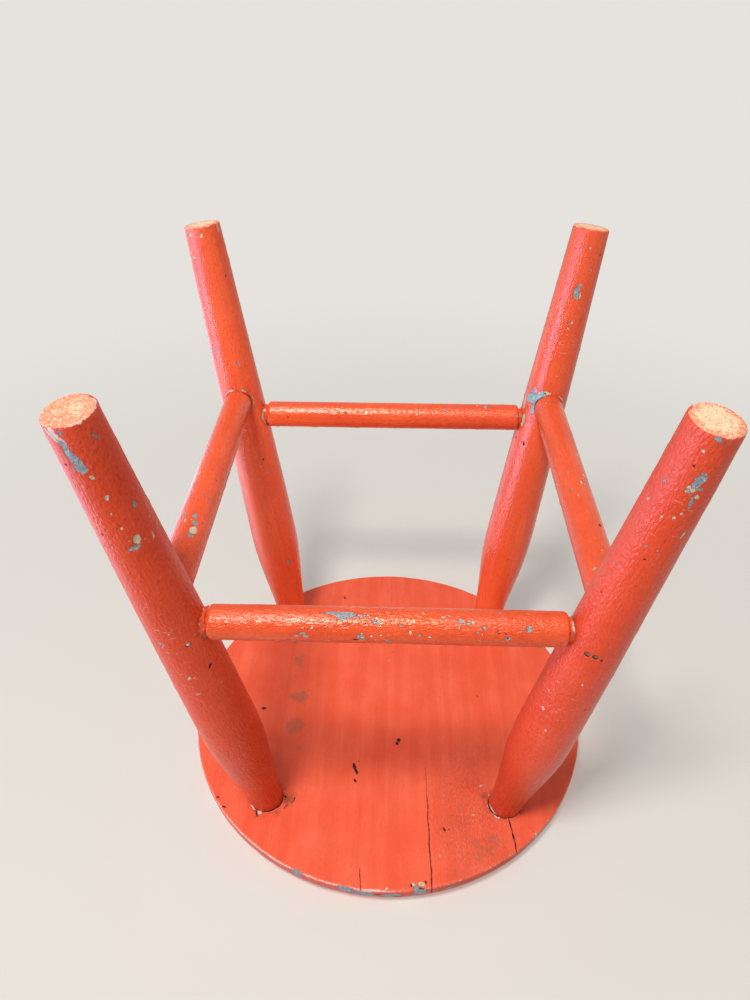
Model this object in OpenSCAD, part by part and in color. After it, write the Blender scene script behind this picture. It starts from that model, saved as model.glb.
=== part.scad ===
// Round wooden stool: a two-board seat on four splayed, turned legs, tied by four stretchers.
// The stool stands on the floor at z = 0. X runs across it, and its front faces -Y.

/* [Stool] */
// Height of the seat's top above the floor
stool_h = 356; // [320:1:420]

/* [Seat] */
// Diameter of the round seat
seat_d = 300; // [270:1:340]
// Thickness of the seat boards
seat_t = 16; // [14:0.5:22]
// Radius of the worn round along the seat's top edge
seat_top_round = 11; // [2:0.5:12]
// Radius of the small round along the seat's underside edge
seat_under_round = 1; // [0.2:0.1:1.5]
// Distance from the seat's middle to the glued joint between its two boards
board_joint_x = 30; // [0:1:50]

/* [Leg places] */
// Distance between leg centres across the stool, at the seat's underside
leg_seat_x = 169; // [150:1:190]
// Distance between leg centres from front to back, at the seat's underside
leg_seat_y = 171; // [150:1:190]
// Distance between leg centres across the stool, at the floor
leg_floor_x = 261; // [220:1:300]
// Distance between leg centres from front to back, at the floor
leg_floor_y = 251; // [220:1:300]

/* [Turned legs] */
// Diameter of a leg where it enters the seat, and of its tenon
leg_neck_d = 22.5; // [18:0.5:26]
// Diameter of a leg at its belly
leg_belly_d = 36.7; // [32:0.1:42]
// Diameter of a leg at its foot
leg_foot_d = 23.8; // [20:0.1:30]
// Distance along a leg from the seat's underside down to its belly
leg_belly_drop = 96; // [70:1:120]
// How late the taper sets in below the belly, where 1 is a straight taper
leg_taper_power = 1.27; // [1:0.01:1.8]
// Radius of the arris around the square-cut foot
foot_arris = 1.2; // [0.4:0.1:2.5]
// Depth of the flat that the floor has worn on each foot's inner side
foot_wear = 0.6; // [0.3:0.1:1.5]

/* [Leg wedges] */
// Depth of the saw kerf in the top of each leg tenon
kerf_depth = 12; // [8:0.5:13]
// Thickness of a wedge at the seat's top
wedge_top_t = 2.6; // [2:0.1:4]
// Thickness of a wedge at its thin edge
wedge_edge_t = 0.8; // [0.5:0.1:1.5]

/* [Stretchers] */
// Height of the front and back stretchers' centre lines
cross_z = 138.5; // [130:0.5:150]
// Height of the two side stretchers' centre lines
side_z = 123; // [100:0.5:124]
// Diameter of the front and back stretchers
cross_d = 19; // [17:0.1:22]
// Diameter of the side stretchers
side_d = 20; // [17:0.1:22]
// Diameter of the tenons at the stretchers' ends
tenon_d = 13.5; // [10:0.1:14]
// Distance that a tenon reaches past its leg's centre line
tenon_past = 4; // [2:0.5:6]
// Radius around the shoulders of a stretcher
shoulder_round = 2; // [0.5:0.1:3]
// Gap between the front and back stretchers' shoulders and their legs
cross_standoff = 1.5; // [1.3:0.1:4]
// Depth that the side stretchers' shoulders are let into their legs
side_sink = 3; // [1.5:0.1:4]

/* [Brads] */
// Diameter of a brad's shank
brad_d = 1.6; // [1.2:0.1:2]
// Diameter of a brad's head
brad_head_d = 2.6; // [2.2:0.1:3.2]
// Thickness of a brad's head
brad_head_t = 0.8; // [0.5:0.1:1.2]
// Distance that a brad's point reaches past the front stretcher's tenon
brad_bite = 2; // [1:0.5:4]
// Depth of a brad's head below the leg's surface
brad_sunk = 0.5; // [0.2:0.1:1]
// Height of the brads above the front stretcher's centre line
brad_rise = 4; // [2:0.5:5]
// Angle of the brads from straight back, turned in towards the middle of the stool
brad_angle = 24; // [10:1:40]
// Distance of a brad from the middle plane of the pair
brad_offset = 2.1; // [1.8:0.1:3]

/* [Clearances] */
// Gap around a leg tenon in its seat hole
leg_fit = 0.15; // [0.05:0.05:0.3]
// Gap around a stretcher tenon, and at its end, in its leg
tenon_fit = 0.15; // [0.05:0.05:0.3]
// Gap around a side stretcher where it is let into its leg
sink_fit = 0.2; // [0.1:0.05:0.4]
// Gap around a brad
brad_fit = 0.05; // [0.03:0.01:0.1]

/* [Hidden] */
$fn = 96;

paint = "#D9512F";
bare_wood = "#D8B48C";
steel = "#B9B7B0";

left = -1;
right = 1;
front = -1;
back = 1;

// Steps along each curve of the leg's outline, and around each small round
leg_steps = 16;
round_steps = 5;
// How far a cutting shape runs past the surface that it cuts
past = 5;

// A leg runs from its floor point up to its point at the seat's underside
under_z = stool_h - seat_t;
leg_run_x = (leg_floor_x - leg_seat_x) / 2;
leg_run_y = (leg_floor_y - leg_seat_y) / 2;
leg_run = norm([leg_run_x, leg_run_y]);
leg_l = norm([leg_run, under_z]);
splay = atan(leg_run / under_z);

// The square-cut end stands on its inner side, less what the floor has worn away
foot_w = (leg_foot_d / 2 * sin(splay) - foot_wear) / cos(splay);
top_w = leg_l + seat_t / cos(splay);

// Where a leg's centre line is at a height, and how far up the leg that is
function leg_x(z) = leg_floor_x / 2 - leg_run_x * z / under_z;
function leg_y(z) = leg_floor_y / 2 - leg_run_y * z / under_z;
function leg_w(z) = z / cos(splay);

// Radius of a leg at distance w up from its floor point: straight at the tenon,
// a cosine swell down to the belly, then a taper that quickens towards the foot
function leg_r(w) =
    let (drop = leg_l - w, taper_l = leg_l - leg_belly_drop - foot_w)
    drop <= 0 ? leg_neck_d / 2
    : drop < leg_belly_drop
        ? leg_neck_d / 2 + (leg_belly_d - leg_neck_d) / 4 * (1 - cos(180 * drop / leg_belly_drop))
        : leg_belly_d / 2 - (leg_belly_d - leg_foot_d) / 2
            * pow((drop - leg_belly_drop) / taper_l, leg_taper_power);

// Points of a quarter round between angles a0 and a1 about centre c
function arc(c, r, a0, a1) =
    [for (i = [0 : round_steps]) let (a = a0 + (a1 - a0) * i / round_steps) c + r * [cos(a), sin(a)]];

// Places its children on a leg's centre line, with +Z running up the leg
module on_leg(sx, sy) {
    translate([sx * leg_floor_x / 2, sy * leg_floor_y / 2, 0])
        rotate([0, splay, atan2(-sy * leg_run_y, -sx * leg_run_x)])
            rotate([0, 0, -atan2(-sy * leg_run_y, -sx * leg_run_x)])
                children();
}

// The room between the floor and the seat's top, which trims the legs at both ends
module stool_height() {
    translate([-seat_d, -seat_d, 0])
        cube([2 * seat_d, 2 * seat_d, stool_h]);
}

// Wedge shape in the top of a leg tenon, as wide as w, lying across the seat's grain
module wedge_shape(w) {
    translate([-w / 2, 0, top_w - kerf_depth])
        rotate([90, 0, 90])
            linear_extrude(w)
                polygon([
                    [-wedge_edge_t / 2, 0], [wedge_edge_t / 2, 0],
                    [wedge_top_t / 2, kerf_depth], [wedge_top_t / 2, kerf_depth + past],
                    [-wedge_top_t / 2, kerf_depth + past], [-wedge_top_t / 2, kerf_depth]
                ]);
}

module turned_leg() {
    body_w = foot_w + foot_arris;
    belly_w = leg_l - leg_belly_drop;
    rotate_extrude()
        polygon(concat(
            [[0, foot_w]],
            arc([leg_r(body_w) - foot_arris, body_w], foot_arris, -90, 0),
            [for (i = [1 : leg_steps]) let (w = body_w + (belly_w - body_w) * i / leg_steps)
                [leg_r(w), w]],
            [for (i = [1 : leg_steps]) let (w = belly_w + leg_belly_drop * i / leg_steps)
                [leg_r(w), w]],
            [[leg_neck_d / 2, top_w + past], [0, top_w + past]]
        ));
}

module leg(sx, sy) {
    color(paint) difference() {
        intersection() {
            on_leg(sx, sy) turned_leg();
            stool_height();
        }
        translate([sx * leg_x(cross_z), sy * leg_y(cross_z), cross_z])
            rotate([0, -90 * sx, 0])
                stretcher_socket(cross_d, -cross_standoff);
        translate([sx * leg_x(side_z), sy * leg_y(side_z), side_z])
            rotate([90 * sy, 0, 0])
                stretcher_socket(side_d, side_sink);
        on_leg(sx, sy) wedge_shape(leg_neck_d + past);
        at_brads(sx, sy) brad_hole();
    }
}

// Hole for a stretcher's end, running along +Z out of the leg from its centre line.
// A shoulder that is let in gets a wider recess for the stretcher's full thickness.
module stretcher_socket(d, sink) {
    translate([0, 0, -tenon_past - tenon_fit])
        cylinder(h = tenon_past + tenon_fit + leg_belly_d, d = tenon_d + 2 * tenon_fit);
    if (sink > 0)
        translate([0, 0, leg_r(leg_w(side_z)) - sink - tenon_fit])
            cylinder(h = leg_belly_d, d = d + 2 * sink_fit);
}

// A stretcher lying along Z: half is the distance from its middle to its legs' centre lines,
// and gap is the distance from those lines to its shoulders
module stretcher(d, half, gap) {
    shoulder = half - gap;
    tip = half + tenon_past;
    rotate_extrude()
        polygon(concat(
            [[0, -tip], [tenon_d / 2, -tip], [tenon_d / 2, -shoulder]],
            arc([d / 2 - shoulder_round, shoulder_round - shoulder], shoulder_round, -90, 0),
            arc([d / 2 - shoulder_round, shoulder - shoulder_round], shoulder_round, 0, 90),
            [[tenon_d / 2, shoulder], [tenon_d / 2, tip], [0, tip]]
        ));
}

module cross_stretcher(sy) {
    color(paint) difference() {
        translate([0, sy * leg_y(cross_z), cross_z])
            rotate([0, 90, 0])
                stretcher(cross_d, leg_x(cross_z), leg_r(leg_w(cross_z)) + cross_standoff);
        at_brads(left, sy) brad_hole();
        at_brads(right, sy) brad_hole();
    }
}

module side_stretcher(sx) {
    color(paint)
        translate([sx * leg_x(side_z), 0, side_z])
            rotate([90, 0, 0])
                stretcher(side_d, leg_y(side_z), leg_r(leg_w(side_z)) - side_sink);
}

// Distance of a brad's top from the leg's centre line, and the brad's length from there,
// through the stretcher's tenon
brad_top = sqrt(pow(leg_r(leg_w(cross_z + brad_rise)), 2) - pow(brad_offset, 2)) - brad_sunk;
brad_l = brad_top + tenon_d / 2 / cos(brad_angle) + brad_bite;

// Places its children at each brad of a front leg, with +Z running out along the brad.
// The right leg has one brad and the left leg has a pair.
module at_brads(sx, sy) {
    z = cross_z + brad_rise;
    offsets = sy == back ? [] : sx == right ? [brad_offset] : [-brad_offset, brad_offset];
    for (side = offsets)
        translate([sx * leg_x(z), sy * leg_y(z), z])
            rotate([90, 0, sx * -brad_angle])
                translate([-sx * side, 0, brad_top])
                    children();
}

module brad_hole() {
    translate([0, 0, -brad_l - brad_fit])
        cylinder(h = brad_l + brad_fit, d = brad_d + 2 * brad_fit);
    translate([0, 0, -brad_head_t - brad_fit])
        cylinder(h = brad_head_t + brad_sunk + past, d = brad_head_d + 2 * brad_fit);
}

module brad() {
    rotate_extrude()
        polygon([
            [0, 0], [brad_head_d / 2, 0], [brad_head_d / 2, -brad_head_t],
            [brad_d / 2, -brad_head_t], [brad_d / 2, brad_d - brad_l], [0, -brad_l]
        ]);
}

module seat_blank() {
    r = seat_d / 2;
    rotate_extrude()
        polygon(concat(
            [[0, under_z]],
            arc([r - seat_under_round, under_z + seat_under_round], seat_under_round, -90, 0),
            arc([r - seat_top_round, stool_h - seat_top_round], seat_top_round, 0, 90),
            [[0, stool_h]]
        ));
}

// One board of the seat, from x0 to x1 across it, with its two holes for the legs on side sx
module seat_board(x0, x1, sx) {
    color(paint) difference() {
        intersection() {
            seat_blank();
            translate([x0, -seat_d, under_z - past])
                cube([x1 - x0, 2 * seat_d, seat_t + 2 * past]);
        }
        for (sy = [front, back])
            on_leg(sx, sy)
                translate([0, 0, leg_l - leg_neck_d])
                    cylinder(h = 2 * leg_neck_d + seat_t, d = leg_neck_d + 2 * leg_fit);
    }
}

module leg_wedge(sx, sy) {
    color(bare_wood) intersection() {
        on_leg(sx, sy) wedge_shape(leg_neck_d + past);
        on_leg(sx, sy)
            translate([0, 0, leg_l - past])
                cylinder(h = seat_t + 3 * past, d = leg_neck_d);
        stool_height();
    }
}

module seat_board_wide() { seat_board(-board_joint_x, seat_d, right); }
module seat_board_narrow() { seat_board(-seat_d, -board_joint_x, left); }
module front_left_leg() { leg(left, front); }
module front_right_leg() { leg(right, front); }
module back_left_leg() { leg(left, back); }
module back_right_leg() { leg(right, back); }
module front_stretcher() { cross_stretcher(front); }
module back_stretcher() { cross_stretcher(back); }
module left_stretcher() { side_stretcher(left); }
module right_stretcher() { side_stretcher(right); }
module front_left_wedge() { leg_wedge(left, front); }
module front_right_wedge() { leg_wedge(right, front); }
module back_left_wedge() { leg_wedge(left, back); }
module back_right_wedge() { leg_wedge(right, back); }
module stretcher_brads() {
    color(steel) {
        at_brads(left, front) brad();
        at_brads(right, front) brad();
    }
}

seat_board_wide();
seat_board_narrow();
front_left_leg();
front_right_leg();
back_left_leg();
back_right_leg();
front_stretcher();
back_stretcher();
left_stretcher();
right_stretcher();
front_left_wedge();
front_right_wedge();
back_left_wedge();
back_right_wedge();
stretcher_brads();
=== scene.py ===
"""Looks of an old round wooden stool in many coats of enamel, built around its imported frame.

The photograph shows the stool upside down on its seat. The frame stands it on its feet, so the
photograph's camera looks up from below at the seat's underside, rolled half a turn.
Lengths are in millimetres until a mesh is made. Angles are in degrees until they are used.
"""

import bmesh
import bpy
import numpy as np
from mathutils import Matrix


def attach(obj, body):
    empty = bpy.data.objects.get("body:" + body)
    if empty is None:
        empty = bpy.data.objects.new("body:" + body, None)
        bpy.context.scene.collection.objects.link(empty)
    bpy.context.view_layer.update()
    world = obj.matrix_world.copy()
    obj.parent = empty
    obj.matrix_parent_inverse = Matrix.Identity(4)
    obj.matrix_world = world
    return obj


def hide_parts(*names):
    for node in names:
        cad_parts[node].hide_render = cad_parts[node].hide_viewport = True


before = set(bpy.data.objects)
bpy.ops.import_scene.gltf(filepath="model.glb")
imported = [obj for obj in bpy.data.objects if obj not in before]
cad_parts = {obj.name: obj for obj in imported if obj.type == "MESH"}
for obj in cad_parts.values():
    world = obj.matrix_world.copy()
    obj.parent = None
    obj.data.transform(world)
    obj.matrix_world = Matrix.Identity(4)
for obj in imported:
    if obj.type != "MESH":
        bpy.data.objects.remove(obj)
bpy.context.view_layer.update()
MM = 0.001

# Sizes of the frame, the same as in the part's source
SEAT_R = 150.0
SEAT_TOP = 356.0
SEAT_UNDER = 340.0
TOP_ROUND = 11.0
UNDER_ROUND = 1.0
JOINT_X = -30.0
LEG_FLOOR = np.array([130.5, 125.5])
LEG_SEAT = np.array([84.5, 85.5])
NECK_R = 11.25
BELLY_R = 18.35
FOOT_R = 11.9
BELLY_DROP = 96.0
TAPER_POWER = 1.27
FOOT_CUT = 1.52
FOOT_ARRIS = 1.2
LEG_MEAN_R = 15.0
LEG_L = float(np.hypot(np.linalg.norm(LEG_FLOOR - LEG_SEAT), SEAT_UNDER))
CROSS_Z = 138.5
CROSS_R = 9.5
CROSS_STANDOFF = 1.5
SIDE_Z = 123.0
SIDE_R = 10.0
SIDE_SINK = 3.0
TENON_R = 6.75
SHOULDER_ROUND = 2.0
BRAD_Z = CROSS_Z + 4.0
BRAD_TURN = 24.0
BRAD_OFFSET = 2.1

# Sharper edges than this are kept sharp, in degrees
SHARP_ANGLE = 48

# What age has done to it: where along y the glued joint starts to open and how far it does,
# and how far the tenons' ends have sunk below the seat's top
JOINT_STARTS = -50.0
JOINT_GAP = 0.4
TENON_DROP = 0.28

# Gap at the underside round each leg: how wide, towards which side and how far round
BORE_GAPES = {
    "front_left_leg": (0.9, 112, 38),
    "front_right_leg": (0.7, -98, 48),
    "back_left_leg": (0.15, 0, 60),
    "back_right_leg": (0.15, 0, 60),
}

# Pale crust on the seat round each leg: how much, towards which side and how far round
CRUSTS = {
    "front_left_leg": (0.75, 112, 55),
    "front_right_leg": (0.6, -4, 30),
    "back_left_leg": (0.1, 0, 60),
    "back_right_leg": (0.1, 0, 60),
}

# Splits in the underside: path, width, and depth at the path's two ends
CRACKS = [
    ([(-86, -95), (-87.5, -105), (-89, -120), (-92, -129)], 1.6, (1.2, 3.6)),
    ([(16, -134), (15, -144), (14.6, -154)], 0.8, (0.6, 3.0)),
    ([(-2, 111), (-1.6, 130), (-1.6, 154)], 0.3, (0.3, 0.9)),
    ([(-59, -66), (-60, -72), (-62, -79)], 0.5, (0.5, 0.8)),
]

# Drops of paint that dried on the underside: place, size and height
PAINT_BLOBS = [
    ((66, -87), 2.6, 0.5),
    ((-107, -91), 1.5, 0.6),
    ((-109, -101), 1.4, 0.5),
    ((-72, -100), 1.3, 0.3),
    ((-122, -79), 1.6, 0.5),
    ((-102, -105), 1.5, 0.5),
]

# Darker spots on the underside beside the front legs: place, size and strength
DARK_SPOTS = [((71, -87), 4.2, 0.95), ((76, -97), 2.6, 0.7), ((-71, -80), 3.0, 0.8)]

# Where each leg's paint is most creased: angle, height, and how far that goes round and along
LEG_CREASES = {
    "front_left_leg": (85, 195, 30, 40),
    "front_right_leg": (-55, 140, 22, 60),
    "back_left_leg": (140, 60, 40, 50),
    "back_right_leg": (-130, 160, 40, 40),
}

# How thick torn paint fills the gap round each rail's neck, at its end towards +X or +Y
TORN_PAINT = {
    "front_stretcher": 2.3,
    "back_stretcher": 0.9,
    "left_stretcher": 0.0,
    "right_stretcher": 0.0,
}

# How much the paint of each rail has wrinkled
WRINKLES = {
    "front_stretcher": 1.0,
    "back_stretcher": 0.3,
    "left_stretcher": 0.5,
    "right_stretcher": 0.55,
}

# Mesh cells across the seat and round the turned pieces, and their length along these in mm
SEAT_CELLS = 236
LEG_TURN_CELLS = 168
LEG_STEP = 0.75
RAIL_TURN_CELLS = 100
RAIL_STEP = 0.7

# Chips down to the older aqua and slate coats and to cream undercoat, holes, worn patches and
# smudges, placed from the photograph. On a leg or rail each is (angle, height or place
# along it, length, width, lean).
CHIPS = {
    "front_right_leg": {
        # The pale lilac patches near the foot are worn paint and also painted sheen
        "wear": [(-38, 7, 9, 2.6, -30), (-30, 4, 5, 3, 0)],
        "slate": [(-49, 18, 14, 4.2, -17), (-52, 22, 6, 5, 0), (-58, 23, 3.5, 2.5, -60),
                  (-41, 10, 5, 2.6, -30), (-47, 4, 2, 1.2, 0),
                  (-108, 12, 1.2, 1, 0), (-112, 50, 3.6, 1.7, 0), (-74, 71, 2.4, 5.5, 0),
                  (-33, 140, 1.8, 2.8, 30)],
        "cream": [(-27, 7, 13, 1.4, -36), (-64, 28, 2.2, 1.3, -20), (-72, 40, 2.8, 1.6, 25),
                  (-86, 67, 5, 3.2, 10), (-117, 71, 2.6, 0.9, 10), (-70, 58, 1.2, 1.2, 0),
                  (-98, 69, 0.9, 0.9, 0), (-65, 49, 1, 1, 0), (-58, 132, 0.8, 1.8, 0),
                  (-53, 170, 2.6, 1.3, 30), (-54, 185, 0.8, 2, 0)],
        "pit": [(-27, 61, 1.4, 0.8, 0), (-24, 21, 1.4, 1.4, 0)],
    },
    "front_left_leg": {
        "slate": [(54, 23, 5, 4, 35), (53, 21, 3, 3, 0), (59, 26, 3.5, 3.2, 0), (66, 30, 1.8, 2, 0),
                  (46, 28, 1.5, 3, 0), (50, 35, 6.5, 1.4, -5), (112, 31, 1.7, 1.3, 0),
                  (61, 65, 1.2, 1.2, 0), (61, 3, 2, 3, 0)],
        "cream": [(67, 28, 1.9, 1.6, 0), (58, 29, 2.1, 1.9, 0), (45, 32, 2, 2, 0),
                  (125, 44, 1.8, 0.7, 0), (84, 47, 1, 1, 0), (64, 45, 1.2, 1.2, 0),
                  (75, 10, 1.5, 1.2, 0), (29, 54, 3.6, 1.2, 15), (55, 42, 1, 1.6, 0),
                  (110, 344.6, 1.8, 8, 0), (62, 168, 1.6, 0.8, 0), (103, 203, 2, 2.5, 0),
                  (80, 218, 2, 1.2, 0), (90, 124, 0.8, 0.8, 0)],
        "pit": [(77, 18, 1.7, 0.9, -40), (73, 72, 1.2, 1.2, 0), (114, 104, 1.2, 1, 0),
                (30, 191, 0.9, 1.6, 0)],
        "smudge": [(43, 4, 4, 5, 0)],
    },
    "back_left_leg": {
        "aqua": [(-170, 123, 7, 6, 0), (169, 122, 8, 7, 0), (158, 118, 6, 6, 0),
                 (172, 130, 8, 3, 0), (-178, 116, 4, 3, 30)],
        "slate": [(165, 124, 6, 4, 20), (-176, 118, 4, 2, 0), (138, 43, 8, 4.4, -15),
                  (134, 38, 3, 2.4, 0)],
        "cream": [(-150, 127, 15, 2.4, -15), (163, 126, 4, 2.4, 0), (-167, 141, 10, 3, 0),
                  (149, 115, 1.6, 7, 0), (128, 44, 4, 1.4, -10), (134, 13, 1.4, 0.9, 0),
                  (113, 27, 1, 0.8, 0), (136, 67, 1.6, 1.2, 0), (129, 63, 2, 0.8, 0)],
        "pit": [(150, 116, 1.2, 1.2, 0), (-156, 157, 1.6, 1.6, 0), (171, 158, 3, 1.2, -30)],
    },
    "back_right_leg": {
        "slate": [(-168, 270, 4.5, 3, 0), (152, 35, 3, 2, 0)],
        "cream": [(-108, 174, 1.2, 1.2, 0), (-113, 157, 1, 1, 0), (-93, 229, 1, 1, 0),
                  (-98, 6, 2.4, 2, 0), (-137, 7, 2.6, 1.4, 20), (158, 5, 5, 1.8, 0),
                  (-93, 21, 1.6, 2.2, 0), (-86, 18, 1.2, 1.2, 0), (-101, 24, 1, 1.2, 0)],
        "pit": [(-163, 174, 1.6, 1.6, 0), (175, 36, 1.4, 1.4, 0)],
    },
    "front_stretcher": {
        "slate": [(-8, 24, 15, 2.4, 0), (-17, 23, 6.5, 4.4, 0), (-14, 19, 4, 3, 0),
                  (-18, 13, 6, 0.7, -20), (-36, 6, 5, 1.2, 24), (-45, 22, 1.7, 0.8, 20),
                  (-27, 6, 0.9, 0.9, 0), (-87, 42, 2.2, 1.8, 0), (-82, 46, 7, 0.8, -27),
                  (-114, 47, 7.5, 0.8, 0), (-103, -1, 3.2, 1.8, 0), (-43, -7, 1.6, 1.6, 0),
                  (-76, -17, 1.6, 1.2, 0), (-80, -22, 1.6, 1.4, 0), (-26, -38, 3.2, 2.1, 0),
                  (-34, -42, 2.6, 1.5, -20), (-46, -37, 0.9, 0.9, 0), (-46, -50, 1.3, 2.1, 0),
                  (-61, -47, 1.6, 1, 0), (-79, -62, 2.6, 2.1, 0), (-46, -73, 2.6, 3.8, 20)],
        "cream": [(-18, 22, 1.8, 1.8, 0), (-28, 24, 1.6, 1.2, 0), (-56, 39, 1.2, 1, 0),
                  (-106, 30, 1, 0.8, 0), (-73, 13, 1.2, 1, 0), (-81, 8, 1.2, 1.2, 0),
                  (-98, 6, 1, 1, 0), (-77, 3, 1.2, 1, 0), (-1, -19, 1, 1.6, 0),
                  (-14, -29, 2.2, 1.2, 0), (-64, -12, 1.3, 2.2, 0), (-30, -44, 1, 1.6, 0),
                  (-67, -49, 0.8, 0.8, 0), (-92, -48, 1, 1, 0), (10, -73, 1, 0.8, 0),
                  (-30, -97, 3, 9, 0)],
        "pit": [(-99, 16, 2.8, 1.2, 0), (-40, 11, 1, 1, 0), (-54, -57, 1, 1, 0),
                (-63, -61, 1.2, 0.6, 40), (-78, -62, 1.2, 1.2, 0)],
    },
    "right_stretcher": {
        "slate": [(-19, 20, 1.8, 1.8, 0), (14, 12, 0.8, 0.8, 0), (-32, -20, 2, 1, 0),
                  (23, -30, 0.8, 0.8, 0), (48, -32, 2, 1.5, 0), (-27, -49, 5, 1.6, 20),
                  (14, -51, 3.6, 3.2, 0), (22, -57, 4, 3, 0), (24, -68, 2.4, 4.2, 0)],
        "cream": [(-31, -7, 3, 1.4, 20), (-46, 12, 6, 0.7, 0), (-12, -55, 2.2, 1.2, 0),
                  (25, -63, 6, 4.2, 0), (74, -39, 0.8, 0.8, 0)],
        "pit": [(-17, 53, 0.9, 0.9, 0)],
    },
    "left_stretcher": {
        "aqua": [(-32, -88, 1.4, 1.4, 0)],
        "slate": [(28, -11, 2.4, 1.3, 30)],
        "cream": [(37, 22, 2.6, 1, 15), (37, -1, 1.9, 2.6, 0), (13, -10, 3.6, 1.2, 0),
                  (-39, -11, 1, 1, 0), (-11, -24, 1, 1.8, 0), (-25, 88, 1.2, 1.2, 0),
                  (6, -75, 1, 1, 0)],
        "pit": [(10, 28, 0.8, 0.8, 0)],
        "smudge": [(7, 87, 4, 4, 0), (-5, -81, 5, 5, 0)],
    },
    "back_stretcher": {
        "aqua": [(-53, -93, 2, 2, 0)],
        "slate": [],
        "cream": [],
        "pit": [],
    },
}

# On the seat's underside each is (x, y, length along y, width, lean).
SEAT_CHIPS = {
    "slate": [(57, -138, 1.2, 7, -22), (25, -148, 1.6, 9, -10), (-23.5, -148, 2.2, 8, 8),
              (-21.4, -145.8, 1.4, 4, 0)],
    "aqua": [(-69, -72, 1.2, 2, 0)],
    "cream": [(-2, -148, 1.6, 2.4, 0), (-84, -78, 1.4, 1.2, 0), (-46, -114, 1.4, 1.2, 0),
              (-37, -125, 1.6, 1, 0), (-62, -95, 1.6, 1.6, 0), (-19.4, -144.6, 2.2, 3.4, 10),
              (-24.6, -144.2, 2.8, 4.4, -10), (-22, -147, 1.2, 3, 0)],
    "wear": [(8, -149, 1.2, 14, 0), (88, -98, 3.4, 2.4, 40), (-104, -108, 3, 2, 0)],
    "pit": [(-9.2, -35, 3.6, 3, 0), (-8, -38, 3, 2.4, 0), (23.4, -59, 6.5, 2.4, 15),
            (21.4, -63.5, 3.6, 2, 0), (22.4, -70.5, 3.4, 1.8, 20), (20.6, -54, 1.7, 1.4, 0),
            (98.4, -8.4, 2.4, 3.4, 20), (-41, -106, 3.5, 1.4, 20), (-18, -145, 2, 1.4, 0),
            (-27.6, -142.6, 2.6, 1.4, 0), (-24, -146.8, 1, 4, 0), (71.6, -84.6, 3.4, 1.6, 30),
            (-73, 9, 1, 1, 0), (42, 119, 4, 1.6, 30), (120, -87, 2, 1.6, 0), (114, -94, 2.5, 1.5, 0),
            (90, -98, 5, 1.1, 20), (86, -100, 4, 1.0, 55), (70, -92, 5, 1.0, -30),
            (66, -88.5, 1.4, 3.4, 20), (64.6, -86.5, 2.4, 1.2, 0)],
    "smudge": [(71, 3, 14, 17, 0), (71, -24, 16, 16, 0), (66, -44, 7, 6, 0), (75, 42, 18, 9, 0),
               (67, -87, 8, 7, 0), (89, -100, 6, 8, 40), (-62, -115, 8, 7, 0),
               (-69, -120, 9, 8, 0), (-74, -113, 7, 6, 0), (-64, -126, 8, 6, 0),
               (40, -108, 4, 4, 0), (-48, -138, 8, 6, 0)],
}

# On the side of the seat's rim each is (angle, z, length along z, width, lean).
RIM_CHIPS = {
    "slate": [(-85, 344.5, 4.4, 16, 0), (-92, 345, 3.8, 14, 0), (-107, 345, 2.4, 8, 0)],
    "cream": [(-86.5, 347, 1.4, 5, 0), (-83, 345.5, 1, 4, 0), (-93, 344, 1.2, 3, 0)],
    "pit": [(-84, 346.8, 1.2, 7, 0), (-88.5, 343.6, 1, 6, 0), (-93.5, 346.6, 1.1, 6, 0)],
}

LAYERS = ("aqua", "slate", "cream", "pit")

# Depth of a chip's hollow by what it shows. An aqua chip has no hollow, only bump.
LEG_CHIP_DEPTHS = {"slate": 0.14, "cream": 0.20, "pit": 0.45}
RAIL_CHIP_DEPTHS = {"slate": 0.14, "cream": 0.18, "pit": 0.40}
UNDERSIDE_CHIP_DEPTHS = {"slate": 0.12, "cream": 0.16, "pit": 0.5}
TOP_CHIP_DEPTHS = {"slate": 0.12, "cream": 0.16, "pit": 0.4}

# Radius within which paint is gone round a brad, and how far below the leg's side it lies
BRAD_PIT_R = 1.55
BRAD_PIT_DEPTH = 0.2

# The value of a damage field, in mm, where there is no damage near, and a leg's clearance
# from its rails where none of them is near
FAR_OUTSIDE = -4.0
FAR_CLEAR = 9.0


def unit(v):
    """The vector scaled to length 1."""
    return np.asarray(v, float) / np.linalg.norm(v)


def smooth(t):
    """Smoothstep: 3 t^2 - 2 t^3, with t held between 0 and 1."""
    t = np.clip(t, 0, 1)
    return t * t * (3 - 2 * t)


def unevenness(u, v, seed, cells=256):
    """Value noise: random heights from -1 to 1 at whole u and v, joined by smoothstep.
    It comes round again after so many cells of u, and after 256 of v."""
    heights = np.random.default_rng(seed).uniform(-1, 1, (cells, 256))
    iu, iv = np.floor(u).astype(int), np.floor(v).astype(int)
    su, sv = smooth(u - iu), smooth(v - iv)
    near, far, row, above = iu % cells, (iu + 1) % cells, iv % 256, (iv + 1) % 256
    low = heights[near, row] * (1 - su) + heights[far, row] * su
    high = heights[near, above] * (1 - su) + heights[far, above] * su
    return low * (1 - sv) + high * sv


def ring_noise(turn, along, round_cells, cell_mm, seed):
    """Unevenness of a turned piece: so many cells round it, and cells of one length along it."""
    return unevenness(turn / (2 * np.pi) * round_cells, along / cell_mm, seed, round_cells)


def turned_from(turn, degrees):
    """The angle from a direction in degrees to each turn, from minus half a turn to half a turn."""
    return (turn - np.radians(degrees) + np.pi) % (2 * np.pi) - np.pi


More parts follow.
